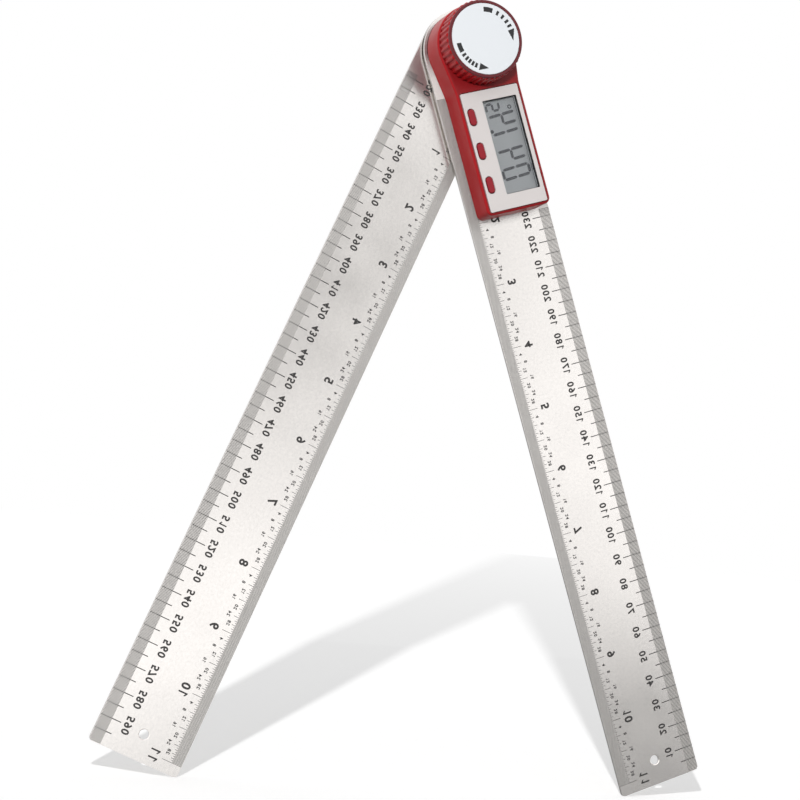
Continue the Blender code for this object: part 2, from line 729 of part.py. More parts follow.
def make_case(frame):
    """The moulded shell: eased front edge, recess, window, slots, keyed bore and four bosses."""
    shape = bmesh.new()
    points = [shape.verts.new((u, v, CASE_BACK)) for u, v in without_repeats(case_outline(0))]
    face = shape.faces.new(points)
    raised = bmesh.ops.extrude_face_region(shape, geom=[face])["geom"]
    moved = [item for item in raised if isinstance(item, bmesh.types.BMVert)]
    bmesh.ops.translate(shape, verts=moved, vec=(0, 0, CASE_FRONT - CASE_BACK))
    middle = (CASE_BACK + CASE_FRONT) / 2
    edges = [edge for edge in shape.edges if all(vert.co.z > middle for vert in edge.verts)]
    bmesh.ops.bevel(
        shape,
        geom=edges,
        offset=CASE_EDGE,
        segments=EDGE_STEPS,
        profile=0.5,
        affect="EDGES",
        clamp_overlap=True,
    )
    case = finished("front_case", shape, frame, red_plastic())
    cut(case, prism("case_hollow", case_outline(CASE_WALL), CASE_BACK - OVERRUN, CEILING, frame))
    for i, place in enumerate(BOSS_PLACES, 1):
        boss = circle((0, 0), BOSS_RADIUS, SMALL_STEPS)
        join(case, prism(f"case_boss_{i}", boss, CASE_BACK, CEILING + FIT, frame, None, place))
        bore = circle((0, 0), SCREW_SHANK_RADIUS + FIT, SMALL_STEPS)
        top = FIXED_BACK + CASE_SCREW_LENGTH + FIT
        cut(case, prism(f"boss_bore_{i}", bore, CASE_BACK - OVERRUN, top, frame, None, place))
    recess = rounded_box(
        (PLATE_REACH, 0), PLATE_LENGTH + 2 * FIT, PLATE_WIDTH + 2 * FIT, PLATE_CORNER + FIT
    )
    window = rounded_box(
        WINDOW_CENTRE,
        LCD_FRAME_LENGTH + 2 * FIT,
        LCD_FRAME_WIDTH + 2 * FIT,
        WINDOW_CORNER + LCD_FRAME_WALL + FIT,
    )
    low = CEILING - OVERRUN
    keyed = double_d(BOLT_RADIUS + FIT, BOLT_FLAT + FIT)
    cut(
        case,
        prism("plate_recess", recess, PLATE_FLOOR, CASE_FRONT + OVERRUN, frame),
        prism("frame_opening", window, low, PLATE_FLOOR + OVERRUN, frame),
        prism("keyed_bore", keyed, low, CASE_FRONT + OVERRUN, frame),
    )
    for i, place in enumerate(BUTTON_PLACES, 1):
        cut(case, button_slot(f"case_slot_{i}", place, low, PLATE_FLOOR + OVERRUN, frame))


def make_faceplate(frame):
    outline = rounded_box((PLATE_REACH, 0), PLATE_LENGTH, PLATE_WIDTH, PLATE_CORNER)
    plate = prism("faceplate", outline, PLATE_BACK, CASE_FRONT, frame, pale_plate())
    low, high = PLATE_BACK - OVERRUN, CASE_FRONT + OVERRUN
    window = rounded_box(WINDOW_CENTRE, WINDOW_LENGTH, WINDOW_WIDTH, WINDOW_CORNER)
    cut(plate, prism("plate_window", window, low, high, frame))
    for i, place in enumerate(BUTTON_PLACES, 1):
        cut(plate, button_slot(f"plate_slot_{i}", place, low, high, frame))


def make_display(frame):
    """The frame that lines the recess, and what lies in it: connectors, display and lens."""
    outer = rounded_box(
        WINDOW_CENTRE, LCD_FRAME_LENGTH, LCD_FRAME_WIDTH, WINDOW_CORNER + LCD_FRAME_WALL
    )
    inner = rounded_box(WINDOW_CENTRE, WINDOW_LENGTH, WINDOW_WIDTH, WINDOW_CORNER)
    pane = rounded_box(WINDOW_CENTRE, LCD_LENGTH, LCD_WIDTH, WINDOW_CORNER)
    lining = prism("lcd_frame", outer, LCD_FRAME_BACK, PLATE_FLOOR, frame, black_plastic())
    low, high = LCD_FRAME_BACK - OVERRUN, PLATE_FLOOR + OVERRUN
    cut(lining, prism("frame_inside", inner, low, high, frame))
    prism("lcd_panel", pane, LCD_BACK, LCD_FRONT, frame, display_glass())
    prism("lcd_lens", pane, LENS_BACK, LENS_FRONT, frame, clear_lens())
    length = LCD_LENGTH - 2 * ZEBRA_INSET
    for i, side in enumerate((1, -1), 1):
        middle = (WINDOW_REACH, WINDOW_SIDE + side * (LCD_WIDTH - ZEBRA_WIDTH) / 2)
        strip = rounded_box(middle, length, ZEBRA_WIDTH, FIT, 1)
        prism(f"zebra_strip_{i}", strip, LCD_FRAME_BACK, ZEBRA_FRONT, frame, grey_rubber())


def make_board(frame):
    """One board: a round end with the encoder's fixed tracks, a neck and a broad end."""
    start = math.asin(NECK_SIDE / STATOR_RADIUS)
    outline = arc((0, 0), STATOR_RADIUS, start, TURN - start, ROUND_STEPS)
    outline += [
        (BOARD_NEAR, -NECK_SIDE),
        (BOARD_NEAR, -BOARD_SIDE),
        (BOARD_FAR, -BOARD_SIDE),
        (BOARD_FAR, BOARD_SIDE),
        (BOARD_NEAR, BOARD_SIDE),
        (BOARD_NEAR, NECK_SIDE),
    ]
    board = prism("circuit_board", outline, BOARD_BACK, BOARD_FRONT, frame, board_green())
    chip = rounded_box((SHOULDER_REACH - CHIP_SIZE, 0), CHIP_SIZE, CHIP_SIZE, CHIP_CORNER)
    bore = circle((0, 0), BOARD_BORE)
    low, high = BOARD_BACK - OVERRUN, BOARD_FRONT + OVERRUN
    join(board, prism("chip", chip, BOARD_BACK + FIT, BOARD_FRONT + CHIP_HEIGHT, frame))
    cut(board, prism("board_bore", bore, low, high, frame))


def make_battery(frame):
    place = (BATTERY_REACH, 0)
    rim = BATTERY_RADIUS - BATTERY_CHAMFER
    profile = [
        (0.0, BATTERY_BACK),
        (rim, BATTERY_BACK),
        (BATTERY_RADIUS, BATTERY_BACK + BATTERY_CHAMFER),
        (BATTERY_RADIUS, BATTERY_FRONT - BATTERY_CHAMFER),
        (rim, BATTERY_FRONT),
        (0.0, BATTERY_FRONT),
    ]
    turned("battery", profile, frame, steel(), place)
    front = BOARD_BACK - FIT
    holder = ring(
        "battery_holder",
        HOLDER_INNER,
        HOLDER_RADIUS,
        BATTERY_BACK,
        front,
        frame,
        black_plastic(),
        place,
    )
    gate = rounded_box((HOLDER_RADIUS, 0), 2 * HOLDER_GATE, HOLDER_GATE, FIT, 1)
    low, high = BATTERY_BACK - OVERRUN, front + OVERRUN
    cut(holder, prism("holder_gate", gate, low, high, frame, None, place))
    blade = HOLDER_INNER + CONTACT_THICKNESS / 2
    outline = rounded_box((blade, 0), CONTACT_THICKNESS, CONTACT_WIDTH, CONTACT_THICKNESS / 4, 1)
    prism("contact_plus", outline, BATTERY_BACK + FIT, front, frame, brass(), place)
    leaf = rounded_box((0, 0), CONTACT_LENGTH, CONTACT_WIDTH, CONTACT_WIDTH / 4)
    prism("contact_minus", leaf, CONTACT_BACK, CONTACT_FRONT, frame, brass(), place)


def make_battery_cover(frame):
    """Coin-slot cover: a disc flush with the rule's back, and two lugs behind the rule's front."""
    place = (BATTERY_REACH, 0)
    disc = circle((0, 0), COVER_RADIUS)
    cover = prism("battery_cover", disc, FIXED_BACK, COVER_FRONT, frame, black_plastic(), place)
    for i, middle in enumerate((LUG_TURN, LUG_TURN + math.pi), 1):
        outline = sector((0, 0), COVER_RADIUS - COVER_MARGIN, LUG_RADIUS, middle, LUG_ANGLE)
        join(cover, prism(f"lug_{i}", outline, CASE_BACK, COVER_FRONT, frame, None, place))
    slot = rounded_box((0, 0), COIN_SLOT_LENGTH, COIN_SLOT_WIDTH, COIN_SLOT_WIDTH / 2)
    low, high = FIXED_BACK - OVERRUN, FIXED_BACK + COIN_SLOT_DEPTH
    cut(cover, prism("coin_slot", slot, low, high, frame, None, place))


def make_buttons(frame):
    """Three like buttons, each held by its flange under the case and carried by a snap dome."""
    broad = (BUTTON_LENGTH + 2 * BUTTON_FLANGE, BUTTON_WIDTH + 2 * BUTTON_FLANGE)
    body = (BUTTON_LENGTH, BUTTON_WIDTH)
    crown = (BUTTON_LENGTH - 2 * BUTTON_EDGE, BUTTON_WIDTH - 2 * BUTTON_EDGE)
    rings = [
        (rounded_box((0, 0), *broad, BUTTON_CORNER + BUTTON_FLANGE), BUTTON_BACK),
        (rounded_box((0, 0), *broad, BUTTON_CORNER + BUTTON_FLANGE), BUTTON_FLANGE_FRONT),
        (rounded_box((0, 0), *body, BUTTON_CORNER), BUTTON_FLANGE_FRONT),
        (rounded_box((0, 0), *body, BUTTON_CORNER), BUTTON_FRONT - BUTTON_EDGE),
        (rounded_box((0, 0), *crown, BUTTON_CORNER - BUTTON_EDGE), BUTTON_FRONT),
    ]
    dome_back = BOARD_FRONT + FIT
    dome = [
        (0.0, dome_back),
        (DOME_RADIUS, dome_back),
        (DOME_RADIUS * DOME_CROWN_SHARE, DOME_FRONT),
        (0.0, DOME_FRONT),
    ]
    for i, place in enumerate(BUTTON_PLACES, 1):
        lofted(f"button_{i}", rings, frame, button_rubber(), place)
        turned(f"switch_dome_{i}", dome, frame, steel(), place, SMALL_STEPS)


def ribbed(crest, root):
    """A round outline with ribs: each rib has four points, at shares of its pitch."""
    pitch = TURN / KNOB_RIBS
    radii = (root, crest, crest, root)
    return [
        (
            radius * math.cos((rib + share) * pitch),
            radius * math.sin((rib + share) * pitch),
        )
        for rib in range(KNOB_RIBS)
        for share, radius in zip(RIB_SHARES, radii)
    ]


def make_knob(frame):
    """Moulded knob: ribbed skirt, plain rim, hollow underside and a boss round the nut."""
    root = KNOB_CREST - RIB_DEPTH
    rib_front = KNOB_FRONT - RIM_HEIGHT
    rings = [
        (ribbed(KNOB_CREST, root), KNOB_BACK),
        (ribbed(KNOB_CREST, root), rib_front),
        (ribbed(KNOB_RIM, KNOB_RIM), rib_front + KNOB_CHAMFER),
        (ribbed(KNOB_RIM, KNOB_RIM), KNOB_FRONT - KNOB_CHAMFER),
        (ribbed(KNOB_RIM - KNOB_CHAMFER, KNOB_RIM - KNOB_CHAMFER), KNOB_FRONT),
    ]
    knob = lofted("lock_knob", rings, frame, red_plastic())
    recess = circle((0, 0), DISC_RADIUS + FIT)
    skirt = KNOB_RIM - KNOB_SKIRT
    boss = INSERT_RADIUS + FIT + KNOB_BOSS_WALL
    bore = INSERT_FRONT + FIT
    hollow = [
        (0.0, KNOB_BACK - OVERRUN),
        (skirt, KNOB_BACK - OVERRUN),
        (skirt, KNOB_CEILING),
        (boss, KNOB_CEILING),
        (boss, INSERT_BACK),
        (INSERT_RADIUS + FIT, INSERT_BACK),
        (INSERT_RADIUS + FIT, bore),
        (0.0, bore),
    ]
    cut(
        knob,
        prism("disc_recess", recess, DISC_FLOOR, KNOB_FRONT + OVERRUN, frame),
        turned("knob_hollow", hollow, frame),
    )
    ring(
        "knob_insert",
        THREAD_RADIUS + FIT,
        INSERT_RADIUS,
        INSERT_BACK,
        INSERT_FRONT,
        frame,
        brass(),
        steps=MIDDLE_STEPS,
    )
    disc = circle((0, 0), DISC_RADIUS)
    prism("knob_disc", disc, DISC_FLOOR + FIT, KNOB_FRONT, frame, white_plastic())


def main():
    clear_scene()
    fixed, moving = arm_frames()
    make_fixed_rule(fixed)
    make_case(fixed)
    make_faceplate(fixed)
    make_display(fixed)
    make_board(fixed)
    make_battery(fixed)
    make_battery_cover(fixed)
    make_buttons(fixed)
    make_pivot_trim(fixed)
    make_bolt(fixed)
    make_knob(fixed)
    make_moving_rule(moving)
    make_hub(moving)
    make_rotor(moving)
    make_rear_cap(moving)
    settle_cuts()


main()
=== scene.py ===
"""Finishes, scales, display and stage of the folding angle finder, built round its packed model.

Metres, +Z up, with the tool's front towards -Y. Each arm has a frame of its own at the pivot:
U runs to the tip, V across the rule and H out of the front. Most pieces are drawn in it.
"""

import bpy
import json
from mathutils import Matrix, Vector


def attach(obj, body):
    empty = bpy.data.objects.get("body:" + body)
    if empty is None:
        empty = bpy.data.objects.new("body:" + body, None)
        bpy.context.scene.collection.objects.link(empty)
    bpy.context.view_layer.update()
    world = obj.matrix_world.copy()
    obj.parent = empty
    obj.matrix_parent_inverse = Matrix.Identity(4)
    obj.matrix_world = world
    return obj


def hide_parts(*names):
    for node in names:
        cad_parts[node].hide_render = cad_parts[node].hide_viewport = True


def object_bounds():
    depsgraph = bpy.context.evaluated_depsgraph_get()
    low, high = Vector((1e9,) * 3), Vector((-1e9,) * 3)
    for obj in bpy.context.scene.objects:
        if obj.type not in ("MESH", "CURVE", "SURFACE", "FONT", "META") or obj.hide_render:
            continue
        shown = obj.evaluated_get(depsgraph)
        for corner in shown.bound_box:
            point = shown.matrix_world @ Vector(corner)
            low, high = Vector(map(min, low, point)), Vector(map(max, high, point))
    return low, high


bl_info = {
    "name": "Folding angle finder",
    "version": (1, 0, 0),
    "blender": (4, 5, 0),
    "location": "3D View > Sidebar > Angle Finder",
    "description": "Builds the finish of a folding angle finder round its packed model",
    "category": "Add Mesh",
}

import json
import math

import bmesh
import bpy
from bpy.props import BoolProperty, FloatProperty, FloatVectorProperty, IntProperty, PointerProperty
from mathutils import Matrix, Vector

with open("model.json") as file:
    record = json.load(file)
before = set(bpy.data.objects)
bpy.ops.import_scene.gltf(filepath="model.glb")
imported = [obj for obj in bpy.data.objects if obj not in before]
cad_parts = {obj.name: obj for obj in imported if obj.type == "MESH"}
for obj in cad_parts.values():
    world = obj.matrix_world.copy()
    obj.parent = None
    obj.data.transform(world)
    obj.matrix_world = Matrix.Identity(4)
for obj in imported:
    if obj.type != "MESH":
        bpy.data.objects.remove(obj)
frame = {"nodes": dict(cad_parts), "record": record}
cad_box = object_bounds()

QUARTER = math.pi / 2
INCH = 0.0254
ROUND_STEPS = 96
HOLE_STEPS = 32
CORNER_STEPS = 8
EDGE_STEPS = 6
FIT = 0.0003
OVERRUN = 0.002
LIP = 0.0001
MERGE = 0.0000002
SPECK = 0.000005
SMOOTH_ANGLE = math.radians(38)
FLAT_ANGLE = math.radians(8)
MARK_PROUD = 0.000015
MARK_SUNK = 0.00001

# Scales: how long a tick is, and how deep a label stands, at every so many steps
METRIC_TICKS = {10: 0.0082, 5: 0.0067}
INCH_TICKS = {64: 0.0079, 32: 0.0071, 16: 0.0060, 8: 0.0054, 4: 0.0050, 2: 0.0045}
LABEL_INSETS = {16: 0.0084, 8: 0.0074, 4: 0.0061}
DIGIT_WEIGHT = 0.034
DIGIT_PITCH = 0.78
DIGIT_ONE = [(0.02, 0), (0.18, 0), (0.18, 1), (0.06, 1), (-0.20, 0.80), (-0.20, 0.65), (0.02, 0.79)]

# Holes, screws and small edges
RIM_STEP = 0.0002
BUSHING_HOLE = 0.0075
HUB_HOLE = 0.0059
COVER_HOLE = 0.0113
COVER_NOTCH = 0.0123
NOTCH_HALF = math.radians(21)
SHANK = 0.0009
SINK_SHARE = 0.75
BOSS_BORE = 0.0012
KEY_RADIUS, KEY_FLAT = 0.0033, 0.0028
PLATE_CORNER = 0.0006
WINDOW_CORNER = 0.0004
WINDOW_WALL = 0.0014
DRIVE_LONG, DRIVE_WIDE, DRIVE_DEEP, DRIVE_TAPER = 0.0022, 0.00042, 0.0006, 0.55
CAP_WALL, CAP_SKIRT, CAP_EDGE = 0.0012, 0.0016, 0.0006

# Steel: a blur at the bands' edges, and the fixed rule's pale end and strip beside the case
BLUR = 0.0001
BAND_FADE = 0.030
PALE_END = (-0.003, 0.008)
PALE_METALLIC, PALE_ROUGHNESS = 0.15, 0.5
CASE_END = (0.064, 0.070)
BESIDE_METALLIC = 0.35

# Knob: its arrows in degrees, each bar's ends with its dashes, and each head's foot and tip
RIB_FADE = 0.0008
RIB_LEAN = 0.1 * math.tau
DASH = 5.0
BARS = {
    (99.5, 81.0): (70.0, 58.0, 46.5, 36.5),
    (-161.0, -143.0): (-136.5, -128.0, -120.5, -113.0, -105.5),
}
HEADS = ((29.0, 6.5), (-98.5, -79.0))
HEAD_SHARE = 0.78

# Display: the digits' segments on a grid, and the places of the small marks
SEGMENTS = {
    "a": ((0, 2), (1, 2)),
    "b": ((1, 2), (1, 1)),
    "c": ((1, 1), (1, 0)),
    "d": ((0, 0), (1, 0)),
    "e": ((0, 1), (0, 0)),
    "f": ((0, 2), (0, 1)),
    "g": ((0, 1), (1, 1)),
}
LIT = {"0": "abcdef", "4": "bcfg", "1": "bc", "5": "acdfg"}
SEGMENT_GAP = 0.12
SMALL_SHIFT = 0.0161
POINT_SHIFT, POINT_SHARE = 0.0070, 0.65
DEGREE_SHIFT, DEGREE_RISE, DEGREE_OUTER, DEGREE_INNER = 0.0146, 0.0100, 0.0009, 0.0004

# Camera and lamps
LENS = 78.39
CAMERA_PLACE = Vector((-0.23794, -0.63355, -0.21712))
CAMERA_LOOK = Vector((0.331756, 0.936398, 0.114441))
CAMERA_UP = Vector((-0.111713, -0.081462, 0.990396))
LAMP_PLACE = Vector((-0.265, -0.58, 0.0))
KEY_LAMP_RADIUS, FLOOR_LAMP_RADIUS = 0.04, 0.006
FLOOR_FALL = 0.6
WHITE_MARGIN = 1.01

# Floor, and what steel mirrors of it and of the surroundings
FLOOR_WIDE, FLOOR_NEAR, FLOOR_BEND, FLOOR_DEEP = 8.0, -3.0, 0.6, 14.0
MIRROR_BRIGHT = 1.197
FLOOR_MIRROR = ((1.0, 0.45, 0.0), -0.24, 0.104, 0.351)
SKY_SHADES = (((0.258, -0.940, 0.197), 0.182, 0.205), ((0.424, -0.880, 0.000), 0.072, 0.639))

EDGE_AXIS = {mount["name"]: mount["axis"] for mount in frame["record"]["mounts"]}["fixed_rule_edge"]
HALF_OPENING = math.atan2(EDGE_AXIS[2], EDGE_AXIS[0])


def arm_matrix(side):
    """An arm's frame in the tool's: side is 1 for the fixed arm and -1 for the moving arm."""
    s, c = math.sin(side * HALF_OPENING), math.cos(side * HALF_OPENING)
    return Matrix(((s, c, 0, 0), (0, 0, -1, 0), (-c, s, 0, 0), (0, 0, 0, 1)))


FIXED = arm_matrix(1)
MOVING = arm_matrix(-1)
FRONT = Matrix(((1, 0, 0, 0), (0, 0, -1, 0), (0, 1, 0, 0), (0, 0, 0, 1)))
FRAMES = {"moving_arm": MOVING, "knob": FRONT}


class Place:
    """Where a CAD node lies, in the frame that its body's pieces are drawn in."""

    def __init__(self, node, body):
        self.body = body
        inverse = FRAMES.get(body, FIXED).inverted()
        columns = list(zip(*(inverse @ vert.co for vert in frame["nodes"][node].data.vertices)))
        self.low = Vector([min(column) for column in columns])
        self.high = Vector([max(column) for column in columns])
        self.size = self.high - self.low
        self.middle = (self.low + self.high) / 2


BODIES = frame["record"]["behaviour"]["bodies"]
PLACES = {node: Place(node, body) for body, nodes in BODIES.items() for node in nodes}
BUTTONS = ("button_1", "button_2", "button_3")

# From the pivot to the rules' tips, and half the rules' width
REACH, HALF = PLACES["moving_rule"].high.xy


def length(name, note, default):
    return FloatProperty(
        name=name, description=note, default=default, min=0.0, precision=5, unit="LENGTH"
    )


def share(name, note, default):
    return FloatProperty(
        name=name, description=note, default=default, min=0.0, max=1.0, subtype="FACTOR"
    )


def amount(name, note, default):
    return FloatProperty(name=name, description=note, default=default, min=0.0)


def slope(name, note, default):
    return FloatProperty(
        name=name, description=note, default=math.radians(default), unit="ROTATION"
    )


def colour(name, note, *default):
    return FloatVectorProperty(
        name=name, description=note, default=default, min=0.0, max=1.0, size=3, subtype="COLOR"
    )


class RuleSettings(bpy.types.PropertyGroup):
    """The two steel rules and what is etched on them"""

    as_photographed: BoolProperty(
        name="Numerals as in the photograph",
        description="Numerals and display read from right to left, as a mirror shows them",
        default=True,
    )
    edge: length("Edge", "Easing of the blade's edges", 0.00012)
    tip_corner: length("Tip corner", "Radius of the corners at the tip", 0.0016)
    hang_hole: length("Hang hole", "Diameter of the hole near the tip, over its rims", 0.0042)
    hang_rim: length("Hang hole rim", "Easing of that hole's rims", 0.00028)
    hang_inset: length("Hang hole inset", "From the tip to the middle of that hole", 0.0095)
    steel: colour("Steel", "Colour of the satin steel", 0.92, 0.886, 0.856)
    roughness: share("Roughness", "Roughness of the satin steel", 0.20)
    # The edges' steel is darker than the faces': painted shade.
    edge_steel: colour("Edge steel", "Colour of the ground edges", 0.50, 0.475, 0.465)
    band_tint: colour("Band tint", "Tint of the bands that ticks fill", 0.94, 0.94, 0.935)
    band_metallic: share("Band metallic", "How metallic the bands are", 0.80)
    band_roughness: share("Band roughness", "Roughness of the bands", 0.42)
    ink: colour("Etching", "Colour of the etched marks", 0.055, 0.053, 0.052)
    inch_start: length("Inch origin", "From the pivot to the inch scale's origin", 0.0162)
    metric_band: length("Metric band", "Length of the finest metric ticks", 0.0046)
    inch_band: length("Inch band", "Length of the finest inch ticks", 0.0040)
    metric_tick: length("Metric tick", "Width of a five or ten millimetre tick", 0.00034)
    fine_tick: length("Fine tick", "Width of the other metric ticks", 0.00021)
    inch_tick: length("Inch tick", "Width of an inch scale's tick", 0.00017)
    numeral: length("Numeral", "Height of the metric numerals", 0.0031)
    numeral_inset: length("Numeral inset", "From the edge to those numerals", 0.00935)
    inch_numeral: length("Inch numeral", "Height of the inch numerals", 0.0037)
    inch_numeral_inset: length("Inch inset", "From the edge to those numerals", 0.0094)
    label: length("Label", "Height of the labels at each eighth of an inch", 0.0014)


class CaseSettings(bpy.types.PropertyGroup):
    """The moulded case, its plate and its buttons"""

    width: length("Width", "Across the box part of the case", 0.0280)
    shoulder_reach: length("Shoulder", "From the pivot to the end of the taper", 0.0170)
    shoulder_radius: length("Shoulder radius", "Radius where the taper meets the sides", 0.0120)
    corner: length("Corner", "Radius of the far corners", 0.0026)
    edge: length("Front edge", "Radius of the rounded front edge", 0.0009)
    draft: length("Draft", "How far the walls lean in from the back to the front", 0.00015)
    wall: length("Wall", "Thickness of the side walls", 0.0016)
    skin: length("Skin", "Thickness of the floor under the plate", 0.0010)
    boss: length("Boss", "Radius of the screw bosses", 0.0022)
    lip: length("Lip", "Easing of the recess and the bores", 0.00012)
    flange: length("Flange", "Width of the flange round a button's foot", 0.0007)
    flange_height: length("Flange height", "Thickness of that flange", 0.0006)
    button_corner: length("Button corner", "Corner radius of a button", 0.0013)
    crown: length("Crown", "Rounding of a button's top", 0.0005)
    red: colour("Red", "Colour of the moulded plastic", 0.43, 0.008, 0.012)
    # The case's faces that look to the front take a darker red: painted shade standing in for
    # weaker light from the front.
    face_red: colour("Face red", "Colour of the case's front face", 0.28, 0.010, 0.013)
    # The next colour is a darker, duller red that glossy and diffuse rays see on the case: painted
    # shade on its reflections and on the light it bounces.
    echo: colour("Echo", "Colour that surfaces beside the case pick up", 0.19, 0.060, 0.066)
    button_red: colour("Button red", "Colour of the buttons", 0.30, 0.012, 0.022)
    plate: colour("Plate", "Colour of the pale plate", 0.735, 0.69, 0.675)


class KnobSettings(bpy.types.PropertyGroup):
    """The lock knob and its disc"""

    ribs: IntProperty(name="Ribs", description="Ribs round the knob", default=42, min=3)
    rib_depth: length("Rib depth", "How far the ribs stand out", 0.0005)
    rim_radius: length("Rim radius", "Radius of the plain rim", 0.0153)
    rim_height: length("Rim height", "Height of the plain rim", 0.0009)
    edge: length("Edge", "Rounding of the rim", 0.00035)
    skirt: length("Skirt", "Thickness of the skirt", 0.0020)
    web: length("Web", "Thickness under the disc", 0.0016)
    boss_wall: length("Boss wall", "Wall round the nut", 0.0018)
    disc_radius: length("Disc radius", "Radius of the white disc", 0.0140)
    arrow_radius: length("Arrow radius", "Radius of the arrows' middle line", 0.01155)
    arrow_width: length("Arrow width", "Width of the arrows' bars", 0.0019)
    # The knob's rim takes a much darker red than the rest of the knob: painted shade.
    rim: colour("Rim", "Colour of the knob's plain rim", 0.13, 0.014, 0.019)
    disc: colour("Disc", "Colour of the disc", 0.83, 0.86, 0.89)


class DisplaySettings(bpy.types.PropertyGroup):
    """The display's numerals"""

    digit_height: length("Digit height", "Height of a numeral", 0.0115)
    digit_width: length("Digit width", "Width of a numeral", 0.0039)
    pitch: length("Pitch", "From one numeral to the next", 0.0071)
    slant: share("Slant", "Lean of the numerals", 0.073)
    rise: length("Rise", "From the display's middle up to the numerals' middle", 0.0003)
    small: share("Small digit", "Size of the last numeral beside the others", 0.48)
    stroke: length("Stroke", "Width of a segment", 0.00115)
    reflector: length("Reflector", "Thickness of the layer behind the segments", 0.0012)
    glass: colour("Glass", "Colour of the display", 0.318, 0.334, 0.346)
    segment: colour("Segment", "Colour of the segments", 0.050, 0.052, 0.060)


class StageSettings(bpy.types.PropertyGroup):
    """Floor, lamps and surroundings"""

    slope: slope("Slope", "Rise of the floor behind the tool", 3.4)
    far_slope: slope("Far slope", "Rise of the floor further back", 2.3)
    floor: colour("Floor", "Colour of the floor", 0.94, 0.94, 0.94)
    bounce: share("Bounce", "How much of the floor's light falls back on the tool", 0.20)
    key: amount("Key", "Power of the lamp on the tool", 8.6)
    floor_key: amount("Floor key", "Power of the lamp on the floor", 32.8)
    sky_left: amount("Sky left", "Even light from the left", 0.80)
    sky_right: amount("Sky right", "Even light from the right", 0.60)


SETTINGS = {
    "angle_rules": RuleSettings,
    "angle_case": CaseSettings,
    "angle_knob": KnobSettings,
    "angle_display": DisplaySettings,
    "angle_stage": StageSettings,
}


# Outlines, in U and V


def arc(middle, radius, start, end, steps):
    """Points along an arc, both ends included."""
    u, v = middle[:2]
    turns = [start + (end - start) * i / steps for i in range(steps + 1)]
    return [(u + radius * math.cos(turn), v + radius * math.sin(turn)) for turn in turns]


def circle(middle, radius, steps=HOLE_STEPS):
    return arc(middle, radius, 0, math.tau, steps)[:-1]


def rounded_box(middle, size_u, size_v, corner, steps=CORNER_STEPS):
    points = []
    for turn, (u, v) in enumerate(((1, 1), (-1, 1), (-1, -1), (1, -1))):
        place = (middle[0] + u * (size_u / 2 - corner), middle[1] + v * (size_v / 2 - corner))
        points += arc(place, corner, turn * QUARTER, (turn + 1) * QUARTER, steps)
    return points


def outline_of(node, grow, corner):
    """A box round a node, grown on every side."""
    place = PLACES[node]
    return rounded_box(place.middle, place.size.x + 2 * grow, place.size.y + 2 * grow, corner)


def button_slot(node, inset=-FIT):
    """The outline of a button's body, or of its slot."""
    case = bpy.context.scene.angle_case
    return outline_of(node, -case.flange - inset, case.button_corner - inset)


def double_d(radius, flat):
    """A circle with two flats, across V."""
    start = math.asin(flat / radius)
    sides = [arc((0, 0), radius, turn - start, turn + start, HOLE_STEPS) for turn in (0, math.pi)]
    return sides[0] + sides[1]


def fillet(before, corner, after, radius):
    """The arc that rounds a corner between two straight stretches, inner or outer."""
    a = math.atan2(before[1] - corner[1], before[0] - corner[0])
    b = math.atan2(after[1] - corner[1], after[0] - corner[0])
    opening = (b - a + math.pi) % math.tau - math.pi
    middle = a + opening / 2
    reach = radius / math.sin(abs(opening) / 2)
    place = (corner[0] + reach * math.cos(middle), corner[1] + reach * math.sin(middle))
    back = middle + math.pi
    sweep = math.copysign((math.pi - abs(opening)) / 2, opening)
    return arc(place, radius, back + sweep, back - sweep, CORNER_STEPS)


def case_outline(inset):
    """The case from the front: a round collar that tapers into straight sides."""
    case = bpy.context.scene.angle_case
    collar = -PLACES["front_case"].low.x - inset
    end = PLACES["front_case"].high.x - inset
    near, side = case.shoulder_reach, case.width / 2 - inset
    tangent = math.atan2(side, near) + math.acos(collar / math.hypot(near, side))
    outline = arc((0, 0), collar, tangent, math.tau - tangent, ROUND_STEPS)
    corners = [outline[-1], (near, -side), (end, -side), (end, side), (near, side), outline[0]]
    corner = max(case.corner - inset, FIT)
    radii = (case.shoulder_radius, corner, corner, case.shoulder_radius)
    for i, radius in enumerate(radii):
        outline += fillet(*corners[i : i + 3], radius)
    return outline


def rule_outline(inset):
    """A flat rule with a full round end at the pivot and eased corners at the tip."""
    corner = bpy.context.scene.angle_rules.tip_corner
    side, tip = HALF - corner, REACH - corner
    outline = arc((0, 0), HALF - inset, QUARTER, 3 * QUARTER, ROUND_STEPS // 2)
    outline += arc((tip, -side), corner - inset, -QUARTER, 0, CORNER_STEPS)
    return outline + arc((tip, side), corner - inset, 0, QUARTER, CORNER_STEPS)


def cover_hole_outline(middle):
    """The battery cover's hole, with the notches that let its lugs in."""
    outline = []
    for turn in (0, math.pi):
        outline += arc(middle, COVER_NOTCH, turn - NOTCH_HALF, turn + NOTCH_HALF, CORNER_STEPS)
        start, end = turn + NOTCH_HALF, turn + math.pi - NOTCH_HALF
        outline += arc(middle, COVER_HOLE, start, end, ROUND_STEPS // 3)
    return outline


# Solids


def loft_shape(rings):
    """A closed shape through rings of points, each with as many as the next."""
    shape = bmesh.new()
    rows = [[shape.verts.new(point) for point in ring] for ring in rings]
    for lower, upper in zip(rows, rows[1:]):
        for i in range(len(lower)):
            shape.faces.new((lower[i - 1], lower[i], upper[i], upper[i - 1]))
    shape.faces.new(rows[0][::-1])
    shape.faces.new(rows[-1])
    bmesh.ops.remove_doubles(shape, verts=shape.verts, dist=MERGE)
    return shape


def raised(outline, height):
    return [(u, v, height) for u, v in outline]


def prism_shape(outline, back, front):
    return loft_shape([raised(outline, back), raised(outline, front)])


def stacked_shape(outline_at, profile):
    """A shape through an outline at each (inset, height) of a profile."""
    return loft_shape([raised(outline_at(inset), height) for inset, height in profile])


